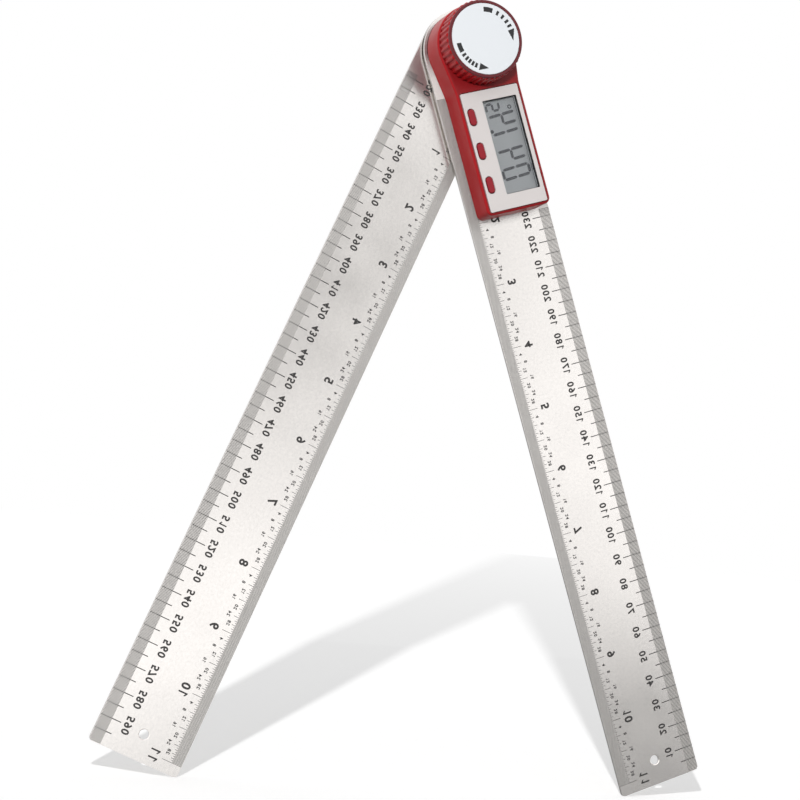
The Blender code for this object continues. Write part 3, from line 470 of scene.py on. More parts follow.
def sheet_shape(outline_at, back, front, edge):
    """A flat sheet with eased edges."""
    eased = edge * 0.3
    profile = [(edge, back), (eased, back + eased), (0, back + edge)]
    return stacked_shape(
        outline_at, profile + [(0, front - edge), (eased, front - eased), (edge, front)]
    )


def turned_shape(profile, middle=(0, 0), steps=ROUND_STEPS):
    """A profile of (radius, height) spun round its own H axis, from the axis to the axis."""
    return stacked_shape(lambda radius: circle(middle, radius, steps), profile)


def rounding(radius, height, edge, outwards, upwards, steps=EDGE_STEPS):
    """Profile points of a rounded edge, from its side to its flat."""
    turns = [QUARTER * i / steps for i in range(steps + 1)]
    return [
        (
            radius - outwards * edge * (1 - math.cos(turn)),
            height - upwards * edge * (1 - math.sin(turn)),
        )
        for turn in turns
    ]


def add_object(name, data):
    obj = bpy.data.objects.new(name, data)
    bpy.context.scene.collection.objects.link(obj)
    return obj


def piece(name, shape, *finishes):
    """The object of a shape, with its finishes."""
    bmesh.ops.recalc_face_normals(shape, faces=shape.faces)
    mesh = bpy.data.meshes.new(name)
    shape.to_mesh(mesh)
    shape.free()
    for finish in finishes:
        mesh.materials.append(finish)
    return add_object(name, mesh)


def settled(obj):
    """The mesh that an object is once its modifiers, or its text, are worked out."""
    bpy.context.view_layer.update()
    graph = bpy.context.evaluated_depsgraph_get()
    return bpy.data.meshes.new_from_object(obj.evaluated_get(graph))


def settle(obj):
    mesh = settled(obj)
    obj.modifiers.clear()
    obj.data = mesh


def work(obj, *steps):
    """Joins and cuts an object with tools, each step an operation and its shapes."""
    tools = []
    for operation, shapes in steps:
        for shape in shapes:
            tools.append(piece("tool", shape))
            modifier = obj.modifiers.new("work", "BOOLEAN")
            modifier.operation = operation
            modifier.solver = "EXACT"
            modifier.object = tools[-1]
    settle(obj)
    for tool in tools:
        bpy.data.objects.remove(tool)


def ease_rims(obj, height, width):
    """Eases the sharp edges that lie in the plane at a height, round recesses and bores."""
    shape = bmesh.new()
    shape.from_mesh(obj.data)
    bmesh.ops.remove_doubles(shape, verts=shape.verts, dist=SPECK)
    bmesh.ops.dissolve_degenerate(shape, edges=shape.edges, dist=SPECK)
    edges = [
        edge
        for edge in shape.edges
        if all(abs(vert.co.z - height) < MERGE for vert in edge.verts)
        and len(edge.link_faces) == 2
        and edge.calc_face_angle() > SMOOTH_ANGLE
    ]
    bmesh.ops.bevel(
        shape, geom=edges, offset=width, segments=2, profile=0.5, affect="EDGES", clamp_overlap=True
    )
    shape.to_mesh(obj.data)
    shape.free()


def paint(obj, is_second):
    """Gives the second finish to the faces that a test picks."""
    for face in obj.data.polygons:
        face.material_index = int(is_second(face))


def dress(obj, body, slot, *nodes, smooth=SMOOTH_ANGLE):
    """Smooths a piece, seats it on its body, and lets it stand for its CAD nodes."""
    obj.data.shade_smooth()
    obj.data.set_sharp_from_angle(angle=smooth)
    obj.modifiers.new("even", "WEIGHTED_NORMAL").keep_sharp = True
    settle(obj)
    seat(obj, body)
    if nodes:
        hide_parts(*nodes)


def seat(obj, body):
    obj.data.transform(FRAMES.get(body, FIXED))
    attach(obj, body)


def finish_node(node, finish):
    """Gives a CAD node that stays in sight its finish."""
    materials = frame["nodes"][node].data.materials
    materials.clear()
    materials.append(finish)


# Marks


def flat_shape(corners, faces):
    """Corners, faces and the directed rim edges of a flat shape."""
    sides = [(face[i - 1], face[i]) for face in faces for i in range(len(face))]
    return corners, faces, [(a, b) for a, b in sides if (b, a) not in sides]


SQUARE = flat_shape([(0, -0.5), (1, -0.5), (1, 0.5), (0, 0.5)], [(0, 1, 2, 3)])


class Marks:
    """Flat marks gathered in one mesh, each a thin closed solid."""

    def __init__(self, surface):
        self.low = surface - MARK_SUNK
        self.high = surface + MARK_PROUD
        self.points = []
        self.faces = []

    def add(self, shape, place=Vector((0, 0)), right=Vector((1, 0)), up=Vector((0, 1))):
        corners, faces, rim = shape
        flat = [place + x * right + y * up for x, y in corners]
        order = -1 if right.cross(up) < 0 else 1
        low, high = len(self.points), len(self.points) + len(flat)
        self.points += [(*point, height) for height in (self.low, self.high) for point in flat]
        for face in faces:
            self.faces.append([high + i for i in face][::order])
            self.faces.append([low + i for i in face][::-order])
        self.faces += [(low + a, low + b, high + b, high + a)[::order] for a, b in rim]

    def seat(self, name, finish, body):
        """The marks as one piece on a body."""
        mesh = bpy.data.meshes.new(name)
        mesh.from_pydata(self.points, [], self.faces)
        mesh.materials.append(finish)
        seat(add_object(name, mesh), body)


def reading():
    """The way that text reads across: 1 to the right, -1 to the left."""
    return -1 if bpy.context.scene.angle_rules.as_photographed else 1


def digit_shapes():
    """The ten digits as flat shapes, one unit tall, centred across. The 1 has a flag."""
    shapes = {}
    unit, foot = None, None
    for digit in "0123456789":
        curve = bpy.data.curves.new("digit", "FONT")
        curve.body = digit
        curve.offset = DIGIT_WEIGHT
        curve.resolution_u = 3
        helper = add_object("digit", curve)
        shape = bmesh.new()
        shape.from_mesh(settled(helper))
        bpy.data.objects.remove(helper)
        bmesh.ops.remove_doubles(shape, verts=shape.verts, dist=0.0001)
        shape.verts.index_update()
        across, heights, _ = zip(*(vert.co for vert in shape.verts))
        if unit is None:
            unit, foot = max(heights) - min(heights), min(heights)
        middle = (max(across) + min(across)) / 2
        corners = [((x - middle) / unit, (y - foot) / unit) for x, y in zip(across, heights)]
        faces = [
            [vert.index for vert in face.verts][:: 1 if face.normal.z > 0 else -1]
            for face in shape.faces
        ]
        shape.free()
        shapes[digit] = flat_shape(corners, faces)
    shapes["1"] = flat_shape(DIGIT_ONE, [(0, 1, 2, 3, 6), (3, 4, 5, 6)])
    return shapes


def flat_half(u):
    """How far the flat of a rule's face reaches from its middle line, at a place."""
    rules = bpy.context.scene.angle_rules
    corner = rules.tip_corner - rules.edge
    past = max(u - (REACH - rules.tip_corner), 0)
    return HALF - rules.tip_corner + math.sqrt(max(corner * corner - past * past, 0))


def step_size(sizes, part, otherwise=0.0):
    """The size that goes with the coarsest step a tick falls on."""
    return next((size for step, size in sizes.items() if part % step == 0), otherwise)


def metric_ticks(value_at):
    """Half millimetre ticks, with a numeral at each centimetre."""
    rules = bpy.context.scene.angle_rules
    for step in range(math.ceil(HALF * 2000), round(REACH * 2000)):
        u, value = step / 2000, value_at(step / 2)
        size = step_size(METRIC_TICKS, value, rules.metric_band)
        wide = rules.fine_tick if value % 5 else rules.metric_tick
        label = None
        if value % 10 == 0 and u < REACH - rules.hang_inset / 2:
            label = (round(value), rules.numeral_inset, rules.numeral)
        yield u, size, wide, label


def inch_ticks():
    """Ticks to a sixty-fourth of an inch, numerals at each inch and labels at each eighth."""
    rules = bpy.context.scene.angle_rules
    for part in range(64 * math.floor((REACH - rules.inch_start) / INCH) + 1):
        label = None
        eighth = part % 64 // 2
        if part % 64 == 0:
            label = (part // 64, rules.inch_numeral_inset, rules.inch_numeral)
        elif part % 8 == 0:
            label = (eighth, step_size(LABEL_INSETS, eighth), rules.label)
        size = step_size(INCH_TICKS, part, rules.inch_band)
        yield rules.inch_start + INCH * part / 64, size, rules.inch_tick, label


def draw_scale(marks, shapes, ticks, side, start, clear):
    """Ticks from one place on, and numerals from another, along one edge of a rule."""
    right, up = Vector((side * reading(), 0)), Vector((0, side))
    for u, size, wide, label in ticks:
        if u < start:
            continue
        edge = flat_half(u)
        inwards = Vector((0, -side * (size - (HALF - edge))))
        marks.add(SQUARE, Vector((u, side * edge)), inwards, Vector((wide, 0)))
        if not label or u < clear:
            continue
        number, inset, height = label
        foot = Vector((u, side * (HALF - inset - height)))
        text = str(number)
        for i, digit in enumerate(text):
            shift = (i - (len(text) - 1) / 2) * DIGIT_PITCH * height
            marks.add(shapes[digit], foot + shift * right, height * right, height * up)


# Materials


def put(tree, kind, inputs=(), **settings):
    """A node with its settings, and its inputs set or linked."""
    made = tree.nodes.new(kind)
    for key, value in settings.items():
        setattr(made, key, value)
    for key, value in dict(inputs).items():
        if isinstance(value, bpy.types.NodeSocket):
            tree.links.new(value, made.inputs[key])
        else:
            made.inputs[key].default_value = value
    return made


def maths(tree, operation, first, second=0.0, third=0.0):
    made = put(tree, "ShaderNodeMath", {0: first, 1: second, 2: third}, operation=operation)
    return made.outputs[0]


def times(tree, first, second):
    return maths(tree, "MULTIPLY", first, second)


def vectors(tree, operation, first, second):
    """The sum of an operation on two vectors: a vector for SUBTRACT, else a number."""
    made = put(tree, "ShaderNodeVectorMath", {0: first, 1: second}, operation=operation)
    return made.outputs[0 if operation == "SUBTRACT" else 1]


def spread(tree, value, low, high, start, end):
    """A value mapped from one span to another, held at its ends."""
    inputs = {"Value": value, "From Min": low, "From Max": high, "To Min": start, "To Max": end}
    return put(tree, "ShaderNodeMapRange", inputs).outputs["Result"]


def between(tree, mask, first, second):
    """A number between two, by a mask."""
    return put(tree, "ShaderNodeMix", {0: mask, 2: first, 3: second}).outputs[0]


def blended(tree, mask, first, second, how="MIX"):
    """A colour between two, or their product, by a mask."""
    inputs = {0: mask, 6: first, 7: second}
    return put(tree, "ShaderNodeMix", inputs, data_type="RGBA", blend_type=how).outputs[2]


def noise(tree, place, scale, detail):
    return put(
        tree, "ShaderNodeTexNoise", {"Vector": place, "Scale": scale, "Detail": detail}
    ).outputs["Fac"]


def object_place(tree):
    return put(tree, "ShaderNodeTexCoord").outputs["Object"]


def shiny_rays(tree, rays):
    return maths(tree, "MAXIMUM", rays["Is Glossy Ray"], rays["Is Transmission Ray"])


def brushed_grain(tree, given):
    """Fine grain drawn out along U, with a coarser mottle under it."""
    turned = put(
        tree,
        "ShaderNodeVectorRotate",
        {"Vector": object_place(tree), "Angle": given["Turn"]},
        rotation_type="Y_AXIS",
    )
    place = turned.outputs[0]
    x, y, z = put(tree, "ShaderNodeSeparateXYZ", {0: place}).outputs
    along = times(tree, z, -1.0)
    drawn = put(tree, "ShaderNodeCombineXYZ", {0: times(tree, along, given["Stretch"]), 1: x, 2: y})
    fine = noise(tree, drawn.outputs[0], given["Across"], 2.0)
    mottle = noise(tree, place, given["Mottle"], 3.0)
    grain = maths(tree, "SUBTRACT", maths(tree, "ADD", fine, mottle), 1.0)
    tone = maths(tree, "MULTIPLY_ADD", grain, given["Amount"], 1.0)
    return tone, fine, noise(tree, place, 45.0, 3.0), along, x


def moulded_grain(tree, given):
    """The fine even grain of a moulded surface, with slow changes of tone."""
    place = object_place(tree)
    fine = noise(tree, place, given["Grain"], 2.0)
    slow = noise(tree, place, 160.0, 2.0)
    grain = maths(tree, "SUBTRACT", maths(tree, "ADD", fine, slow), 1.0)
    return maths(tree, "MULTIPLY_ADD", grain, given["Amount"], 1.0), fine, slow


def rubbed_edges(tree, given):
    """A mask of the edges that hands rub, broken up by noise."""
    rounded = put(tree, "ShaderNodeBevel", {"Radius": given["Radius"]}, samples=4).outputs[0]
    normal = put(tree, "ShaderNodeNewGeometry").outputs["Normal"]
    edge = spread(tree, vectors(tree, "DOT_PRODUCT", rounded, normal), 1.0, 0.85, 0.0, 1.0)
    patches = spread(tree, noise(tree, object_place(tree), 700.0, 3.0), 0.40, 0.65, 0.2, 1.0)
    return (times(tree, times(tree, edge, patches), given["Amount"]),)


GRAIN = ("Tone", "Height", "Smudge")
BRUSHED = {"Across": 9000.0, "Stretch": 0.06, "Mottle": 900.0, "Amount": 0.10, "Turn": 0.0}
EFFECTS = {
    "brushed_grain": (brushed_grain, BRUSHED, (*GRAIN, "U", "V")),
    "moulded_grain": (moulded_grain, {"Grain": 4000.0, "Amount": 0.05}, GRAIN),
    "rubbed_edges": (rubbed_edges, {"Radius": 0.0003, "Amount": 0.5}, ("Mask",)),
}


def effect_group(name):
    """The shader node group of an effect, built at its first use."""
    group = bpy.data.node_groups.get(name)
    if group:
        return group
    build, inputs, outputs = EFFECTS[name]
    group = bpy.data.node_groups.new(name, "ShaderNodeTree")
    for label, default in inputs.items():
        socket = group.interface.new_socket(label, in_out="INPUT", socket_type="NodeSocketFloat")
        socket.default_value = default
    for label in outputs:
        group.interface.new_socket(label, in_out="OUTPUT", socket_type="NodeSocketFloat")
    out = group.nodes.new("NodeGroupOutput").inputs
    results = build(group, group.nodes.new("NodeGroupInput").outputs)
    for label, result in zip(outputs, results):
        group.links.new(result, out[label])
    return group


def effect(tree, name, values):
    """An effect's outputs in a material, with the material's own values."""
    return put(tree, "ShaderNodeGroup", values, node_tree=effect_group(name)).outputs


def new_material(name, roughness, metallic=0.0, specular=0.5):
    """A material with its node tree and its shader."""
    made = bpy.data.materials.new(name)
    made.use_nodes = True
    shader = made.node_tree.nodes["Principled BSDF"]
    shader.inputs["Roughness"].default_value = roughness
    shader.inputs["Metallic"].default_value = metallic
    shader.inputs["Specular IOR Level"].default_value = specular
    return made, made.node_tree, shader


def tinted(tree, base, tone):
    """A colour times a tone that changes over the surface."""
    grey = put(tree, "ShaderNodeCombineColor", {0: tone, 1: tone, 2: tone}).outputs[0]
    return blended(tree, 1.0, (*base, 1.0), grey, "MULTIPLY")


def feed(tree, shader, **sockets):
    """Links sockets to the shader's inputs, whose names are written with underscores."""
    for name, socket in sockets.items():
        tree.links.new(socket, shader.inputs[name.replace("_", " ")])


def grained(name, kind, values, base, roughness, metallic, specular, worn, bump):
    """A finish whose colour, roughness and relief follow an effect's grain."""
    found = bpy.data.materials.get(name)
    if found:
        return found
    made, tree, shader = new_material(name, roughness, metallic, specular)
    grain = effect(tree, kind, values)
    tone = tinted(tree, base, grain["Tone"])
    if worn:
        pale = [channel + (1 - channel) * 0.25 for channel in base]
        mask = effect(tree, "rubbed_edges", {"Amount": worn})["Mask"]
        tone = blended(tree, mask, tone, (*pale, 1.0))
    rough = spread(tree, grain["Smudge"], 0.3, 0.7, roughness * 0.85, roughness * 1.15)
    inputs = {"Height": grain["Height"], "Distance": bump, "Strength": 1.0}
    relief = put(tree, "ShaderNodeBump", inputs)
    feed(tree, shader, Base_Color=tone, Roughness=rough, Normal=relief.outputs["Normal"])
    return made


def metal(name, base, roughness, across, amount, stretch, turn=0.0):
    """Turned, brushed or plated metal."""
    values = {"Across": across, "Amount": amount, "Stretch": stretch, "Turn": turn}
    return grained(name, "brushed_grain", values, base, roughness, 1.0, 0.5, 0.0, 0.000004)


def plastic(name, base, roughness, amount, grain, specular=0.5, worn=0.0, bump=0.00001):
    """Moulded plastic or rubber, a little paler where its edges are rubbed."""
    values = {"Grain": grain, "Amount": amount}
    return grained(name, "moulded_grain", values, base, roughness, 0.0, specular, worn, bump)


def rule_steel(name, turn, metric_side):
    """Satin steel, with a duller etched ground in the bands that the finest ticks fill.

    The fixed rule's round end is made less metallic and rougher, which makes it paler, and its
    strip beside the case is duller.
    """
    rules = bpy.context.scene.angle_rules
    made = metal(name, rules.steel, rules.roughness, 5200.0, 0.16, 0.22, turn)
    tree = made.node_tree
    shader = tree.nodes["Principled BSDF"]
    along, across = tree.nodes["Group"].outputs["U"], tree.nodes["Group"].outputs["V"]

    def change(value, place, start, end):
        """From one number to another at a place on the rule."""
        return spread(tree, value, place - BLUR, place + BLUR, start, end)

    inches = math.floor((REACH - rules.inch_start) / INCH)
    across = times(tree, across, metric_side)
    metric = change(across, HALF - rules.metric_band, 0.0, 1.0)
    inch = change(across, rules.inch_band - HALF, 1.0, 0.0)
    inch = times(tree, inch, change(along, rules.inch_start + INCH * inches, 1.0, 0.0))
    start = change(along, rules.inch_start, 0.0, 1.0)
    fade = spread(tree, along, rules.inch_start, rules.inch_start + BAND_FADE, 0.0, 1.0)
    mask = maths(tree, "MAXIMUM", times(tree, metric, fade), times(tree, inch, start))
    bright = shader.inputs["Base Color"].links[0].from_socket
    dull = blended(tree, 1.0, bright, (*rules.band_tint, 1.0), "MULTIPLY")
    metallic = spread(tree, mask, 0.0, 1.0, 1.0, rules.band_metallic)
    rough = shader.inputs["Roughness"].links[0].from_socket
    rough = between(tree, mask, rough, rules.band_roughness)
    if metric_side > 0:
        before = maths(tree, "SUBTRACT", 1.0, start)
        # The round end is less metallic and rougher here, so it renders paler.
        pale = times(tree, spread(tree, along, *PALE_END, 0.0, 1.0), before)
        past_case = spread(tree, along, *CASE_END, BESIDE_METALLIC, 1.0)
        metallic = times(tree, metallic, spread(tree, pale, 0.0, 1.0, 1.0, PALE_METALLIC))
        metallic = times(tree, metallic, maths(tree, "MAXIMUM", past_case, before))
        rough = between(tree, pale, rough, PALE_ROUGHNESS)
    tone = blended(tree, mask, bright, dull)
    feed(tree, shader, Base_Color=tone, Metallic=metallic, Roughness=rough)
    return made


def edge_steel(turn):
    """The rules' edges, ground a little coarser than their faces, and darker than them as painted
    shade.
    """
    tone = bpy.context.scene.angle_rules.edge_steel
    return metal(f"edge_steel_painted_shade_{turn:+.1f}", tone, 0.42, 5200.0, 0.2, 0.5, turn)


def red_plastic():
    """The case's plastic. Glossy and diffuse rays see a darker, duller red: painted shade on its
    reflections in the satin steel and the plate beside it, and on the light it bounces.
    """
    found = bpy.data.materials.get("moulded_red")
    if found:
        return found
    case = bpy.context.scene.angle_case
    made = plastic("moulded_red", case.red, 0.36, 0.05, 3500.0, 0.18, 0.35)
    tree = made.node_tree
    shader = tree.nodes["Principled BSDF"]
    seen = shader.inputs["Base Color"].links[0].from_socket
    rays = put(tree, "ShaderNodeLightPath").outputs
    # Glossy and diffuse rays see the darker red: painted shade on the case's reflections and
    # bounce.
    second = maths(tree, "MAXIMUM", rays["Is Glossy Ray"], rays["Is Diffuse Ray"])
    feed(tree, shader, Base_Color=blended(tree, second, seen, (*case.echo, 1.0)))
    return made


def screw_steel():
    return metal("darkened_screw_steel", (0.33, 0.33, 0.34), 0.35, 4000.0, 0.12, 1.0)


def black_plastic():
    return plastic("black_moulding", (0.022, 0.021, 0.022), 0.5, 0.2, 3000.0, 0.4, 0.2)


def clear_pane():
    """Clear pane with a faint reflection, through which all light passes straight."""
    found = bpy.data.materials.get("clear_pane")
    if found:
        return found
    made, tree, shader = new_material("clear_pane", 0.03, 1.0)
    tone = effect(tree, "moulded_grain", {"Amount": 0.02})["Tone"]
    feed(tree, shader, Base_Color=tinted(tree, (0.97, 0.985, 0.985), tone))
    mirror = put(tree, "ShaderNodeFresnel", {"IOR": 1.2}).outputs[0]
    seen = times(tree, mirror, put(tree, "ShaderNodeLightPath").outputs["Is Camera Ray"])
    open_way = put(tree, "ShaderNodeBsdfTransparent").outputs[0]
    mixed = put(tree, "ShaderNodeMixShader", {0: seen, 1: open_way, 2: shader.outputs[0]})
    feed(tree, tree.nodes["Material Output"], Surface=mixed.outputs[0])
    return made


# Operators


class ANGLE_OT_rules(bpy.types.Operator):
    """Both steel rules, with their scales"""

    bl_idname = "angle_finder.rules"
    bl_label = "Rules"

    def execute(self, context):
        self.rules = context.scene.angle_rules
        self.shapes = digit_shapes()
        holes = [circle((0, 0), BUSHING_HOLE, ROUND_STEPS)]
        holes.append(cover_hole_outline(PLACES["battery_cover"].middle))
        clear = PLACES["front_case"].high.x + FIT
        ends = round(REACH * 1000)
        self.blade("fixed_rule", "fixed_arm", holes, "case_screw", 1)
        holes = [circle((0, 0), HUB_HOLE, ROUND_STEPS)]
        self.blade("moving_rule", "moving_arm", holes, "hub_screw", -1)
        self.scales("fixed_rule", "fixed_arm", lambda step: ends - step, 1, 0.0, clear)
        self.scales("moving_rule", "moving_arm", lambda step: ends + step, -1, HALF, HALF)
        return {"FINISHED"}

    def scales(self, node, body, value_at, side, start, clear):
        """The metric scale on one side of a rule, and the inch scale on the other."""
        rules = self.rules
        marks = Marks(PLACES[node].high.z)
        draw_scale(marks, self.shapes, metric_ticks(value_at), side, clear, clear)
        draw_scale(marks, self.shapes, inch_ticks(), -side, start, clear)
        ink = plastic("etched_marks", rules.ink, 0.55, 0.25, 9000.0, 0.3)
        marks.seat(node + "_scales", ink, body)

    def blade(self, node, body, holes, screws, side):
        """A blade with its holes. The fixed rule's screws go in from the back."""
        rules = self.rules
        back, front = PLACES[node].low.z, PLACES[node].high.z
        turn = side * HALF_OPENING
        finishes = (rule_steel(node + "_satin_steel", turn, side), edge_steel(turn))
        obj = piece(node + "_blade", sheet_shape(rule_outline, back, front, rules.edge), *finishes)
        wide, narrow = rules.hang_hole / 2, rules.hang_hole / 2 - rules.hang_rim
        rims = [(wide, back - OVERRUN), (wide, back), (narrow, back + rules.hang_rim)]
        rims += [(narrow, front - rules.hang_rim), (wide, front), (wide, front + OVERRUN)]
        cutters = [prism_shape(hole, back - OVERRUN, front + OVERRUN) for hole in holes]
        cutters.append(turned_shape(rims, (REACH - rules.hang_inset, 0), 48))
        mouth, deep = (back, front - back) if side > 0 else (front, back - front)
        over = math.copysign(OVERRUN, deep)
        for name in [name for name in PLACES if name.startswith(screws)]:
            screw = PLACES[name]
            wide, narrow = screw.size.x / 2 + FIT, SHANK + FIT
            profile = [(wide, mouth - over), (wide, mouth), (narrow, mouth + SINK_SHARE * deep)]
            profile.append((narrow, mouth + deep + over))
            cutters.append(turned_shape(profile, screw.middle, HOLE_STEPS))
        work(obj, ("DIFFERENCE", cutters))
        ease_rims(obj, front, rules.edge / 2)

        def at_side(face):
            place, rim = face.center, HALF - rules.edge
            outside = place.x > 0 and abs(place.y) > rim or place.xy.length > rim
            return outside and abs(face.normal.z) < 0.5 and place.x < REACH - rules.edge

        # The side faces take the darker edge steel, painted shade.
        paint(obj, at_side)
        dress(obj, body, "rule_steel", node, smooth=FLAT_ANGLE)


class ANGLE_OT_case(bpy.types.Operator):
    """The moulded case"""

    bl_idname = "angle_finder.case"
    bl_label = "Case"

    def execute(self, context):
        case = context.scene.angle_case
        back, front = PLACES["front_case"].low.z, PLACES["front_case"].high.z
        floor = PLACES["lcd_frame"].high.z
        ceiling = floor - case.skin
        profile = [(RIM_STEP, back), (0.0, back + RIM_STEP)]
        profile += rounding(case.draft, front, case.edge, -1, 1)
        face_red = plastic("moulded_red_painted_front_shade", case.face_red, 0.36, 0.05, 3500.0, 0.28, 0.35)
        obj = piece("case_moulding", stacked_shape(case_outline, profile), red_plastic(), face_red)
        hollow = prism_shape(case_outline(case.wall), back - OVERRUN, ceiling)
        bosses, cuts = [], []
        for screw in [PLACES[f"case_screw_{i}"] for i in range(1, 5)]:
            bosses.append(prism_shape(circle(screw.middle, case.boss), back, ceiling + FIT))
            bore = circle(screw.middle, BOSS_BORE, 24)
            cuts.append(prism_shape(bore, back - OVERRUN, screw.high.z + FIT))
        recess = outline_of("faceplate", FIT, PLATE_CORNER + FIT)
        window = outline_of("lcd_frame", FIT, WINDOW_WALL)
        keyed = double_d(KEY_RADIUS, KEY_FLAT)
        cuts.append(prism_shape(recess, floor, front + OVERRUN))
        cuts.append(prism_shape(window, ceiling - OVERRUN, floor + OVERRUN))
        cuts.append(prism_shape(keyed, ceiling - OVERRUN, front + OVERRUN))
        for name in BUTTONS:
            cuts.append(prism_shape(button_slot(name), ceiling - OVERRUN, floor + OVERRUN))
        work(obj, ("DIFFERENCE", [hollow]), ("UNION", bosses), ("DIFFERENCE", cuts))
        ease_rims(obj, front, case.lip)
        # Faces that look to the front, near the front, get the darker red: painted shade.
        paint(obj, lambda face: face.normal.z > 0.8 and face.center.z > front - case.edge)
        dress(obj, "fixed_arm", "case_red", "front_case")
        return {"FINISHED"}


class ANGLE_OT_faceplate(bpy.types.Operator):
    """The pale plate over the box part of the case"""

    bl_idname = "angle_finder.faceplate"
    bl_label = "Faceplate"

    def execute(self, context):
        place, lining = PLACES["faceplate"], PLACES["lcd_frame"]
        back, front = place.low.z, place.high.z
        sheet = sheet_shape(
            lambda inset: outline_of("faceplate", -inset, PLATE_CORNER - inset), back, front, LIP
        )
        tone = context.scene.angle_case.plate
        finish = plastic("pale_satin_plate", tone, 0.42, 0.06, 5200.0, 0.4, 0.15)
        obj = piece("pale_faceplate", sheet, finish, black_plastic())
        holes = [outline_of("lcd_frame", -WINDOW_WALL / 2, WINDOW_CORNER)]
        holes += [button_slot(name) for name in BUTTONS]
        cutters = [prism_shape(hole, back - OVERRUN, front + OVERRUN) for hole in holes]
        work(obj, ("DIFFERENCE", cutters))
        ease_rims(obj, front, LIP)

        def in_shade(face):
            """The window's wall that faces -V, which is black like the lining behind it."""
            apart = face.center - lining.middle
            inside = abs(apart.x) < lining.size.x / 2 and abs(apart.y) < lining.size.y / 2
            return inside and face.normal.y < -0.5 and face.center.z < front - 1.2 * LIP

        paint(obj, in_shade)
        dress(obj, "fixed_arm", "faceplate_pale", "faceplate")
        return {"FINISHED"}


class ANGLE_OT_buttons(bpy.types.Operator):
    """Three buttons, each with a rounded crown and a flange"""

    bl_idname = "angle_finder.buttons"
    bl_label = "Buttons"

    def execute(self, context):
        case = context.scene.angle_case
        finish = plastic("button_rubber", case.button_red, 0.5, 0.10, 5000.0, 0.4, 0.25)
        for node in BUTTONS:
            place = PLACES[node]
            step = place.low.z + case.flange_height
            profile = [(-case.flange, place.low.z), (-case.flange, step), (0, step)]
            profile += rounding(0, place.high.z, case.crown, -1, 1)
            shape = stacked_shape(lambda inset: button_slot(node, inset), profile)
            dress(piece(node + "_cap", shape, finish), place.body, "button_red", node)
        return {"FINISHED"}


class ANGLE_OT_display(bpy.types.Operator):
    """The display's glass, its numerals, its lining and its pane"""

    bl_idname = "angle_finder.display"
    bl_label = "Display"

    def execute(self, context):
        shown = context.scene.angle_display
        panel = PLACES["lcd_panel"]
        pane = outline_of("lcd_panel", 0, WINDOW_CORNER)
        layer = panel.low.z + shown.reflector
        glass = plastic("display_glass", shown.glass, 0.6, 0.05, 2500.0, 0.15, 0.0, 0.000002)
        obj = piece("display_reflector", prism_shape(pane, panel.low.z, layer), glass)
        dress(obj, "fixed_arm", "display_grey", "lcd_panel")
        front = prism_shape(pane, layer + 3 * MARK_PROUD, panel.high.z)
        dress(piece("display_front_glass", front, clear_pane()), "fixed_arm", "lens_clear")
        self.numerals(shown, layer, panel.middle)
        finish_node("lcd_frame", black_plastic())
        finish_node("lcd_lens", clear_pane())
        return {"FINISHED"}

    def numerals(self, shown, layer, middle):
        """Four numerals and a small one, with a point and a degree ring."""
        marks = Marks(layer)
        right = Vector((reading(), 0))
        up = Vector((reading() * shown.slant, 1))
        foot = Vector((middle.x, middle.y + shown.rise)) - up * shown.digit_height / 2
        for place, digit in enumerate("0414"):
            self.digit(marks, digit, foot + (place - 1.5) * shown.pitch * right, 1.0, right, up)
        self.digit(marks, "5", foot + SMALL_SHIFT * right, shown.small, right, up)
        point = flat_shape(circle((0, 0), shown.stroke * POINT_SHARE, 12), [tuple(range(12))])
        marks.add(point, foot + POINT_SHIFT * right)
        rim = circle((0, 0), DEGREE_OUTER, 16) + circle((0, 0), DEGREE_INNER, 16)
        faces = [(i, (i + 1) % 16, 16 + (i + 1) % 16, 16 + i) for i in range(16)]
        marks.add(flat_shape(rim, faces), foot + DEGREE_SHIFT * right + DEGREE_RISE * up)
        finish = plastic("display_segments", shown.segment, 0.4, 0.08, 6000.0)
        marks.seat("display_numerals", finish, "fixed_arm")

    def digit(self, marks, digit, place, size, right, up):
        """A digit of lit segments. A small one loses less width and stroke than height."""
        shown = bpy.context.scene.angle_display
        wide, tall = shown.digit_width * (1 + size) / 2, shown.digit_height / 2 * size
        stroke = shown.stroke * (2 + size) / 3
        for name in LIT[digit]:
            a, b = (Vector(((x - 0.5) * wide, y * tall)) for x, y in SEGMENTS[name])
            along = (b - a).normalized() * stroke
            across = Vector((-along.y, along.x)) / 2
            a, b, point = a + along * SEGMENT_GAP, b - along * SEGMENT_GAP, along / 2
            corners = (a, a + point - across, b - point - across, b, b - point + across)
            bar = [tuple(corner) for corner in (*corners, a + point + across)]
            marks.add(flat_shape(bar, [tuple(range(6))]), place, right, up)


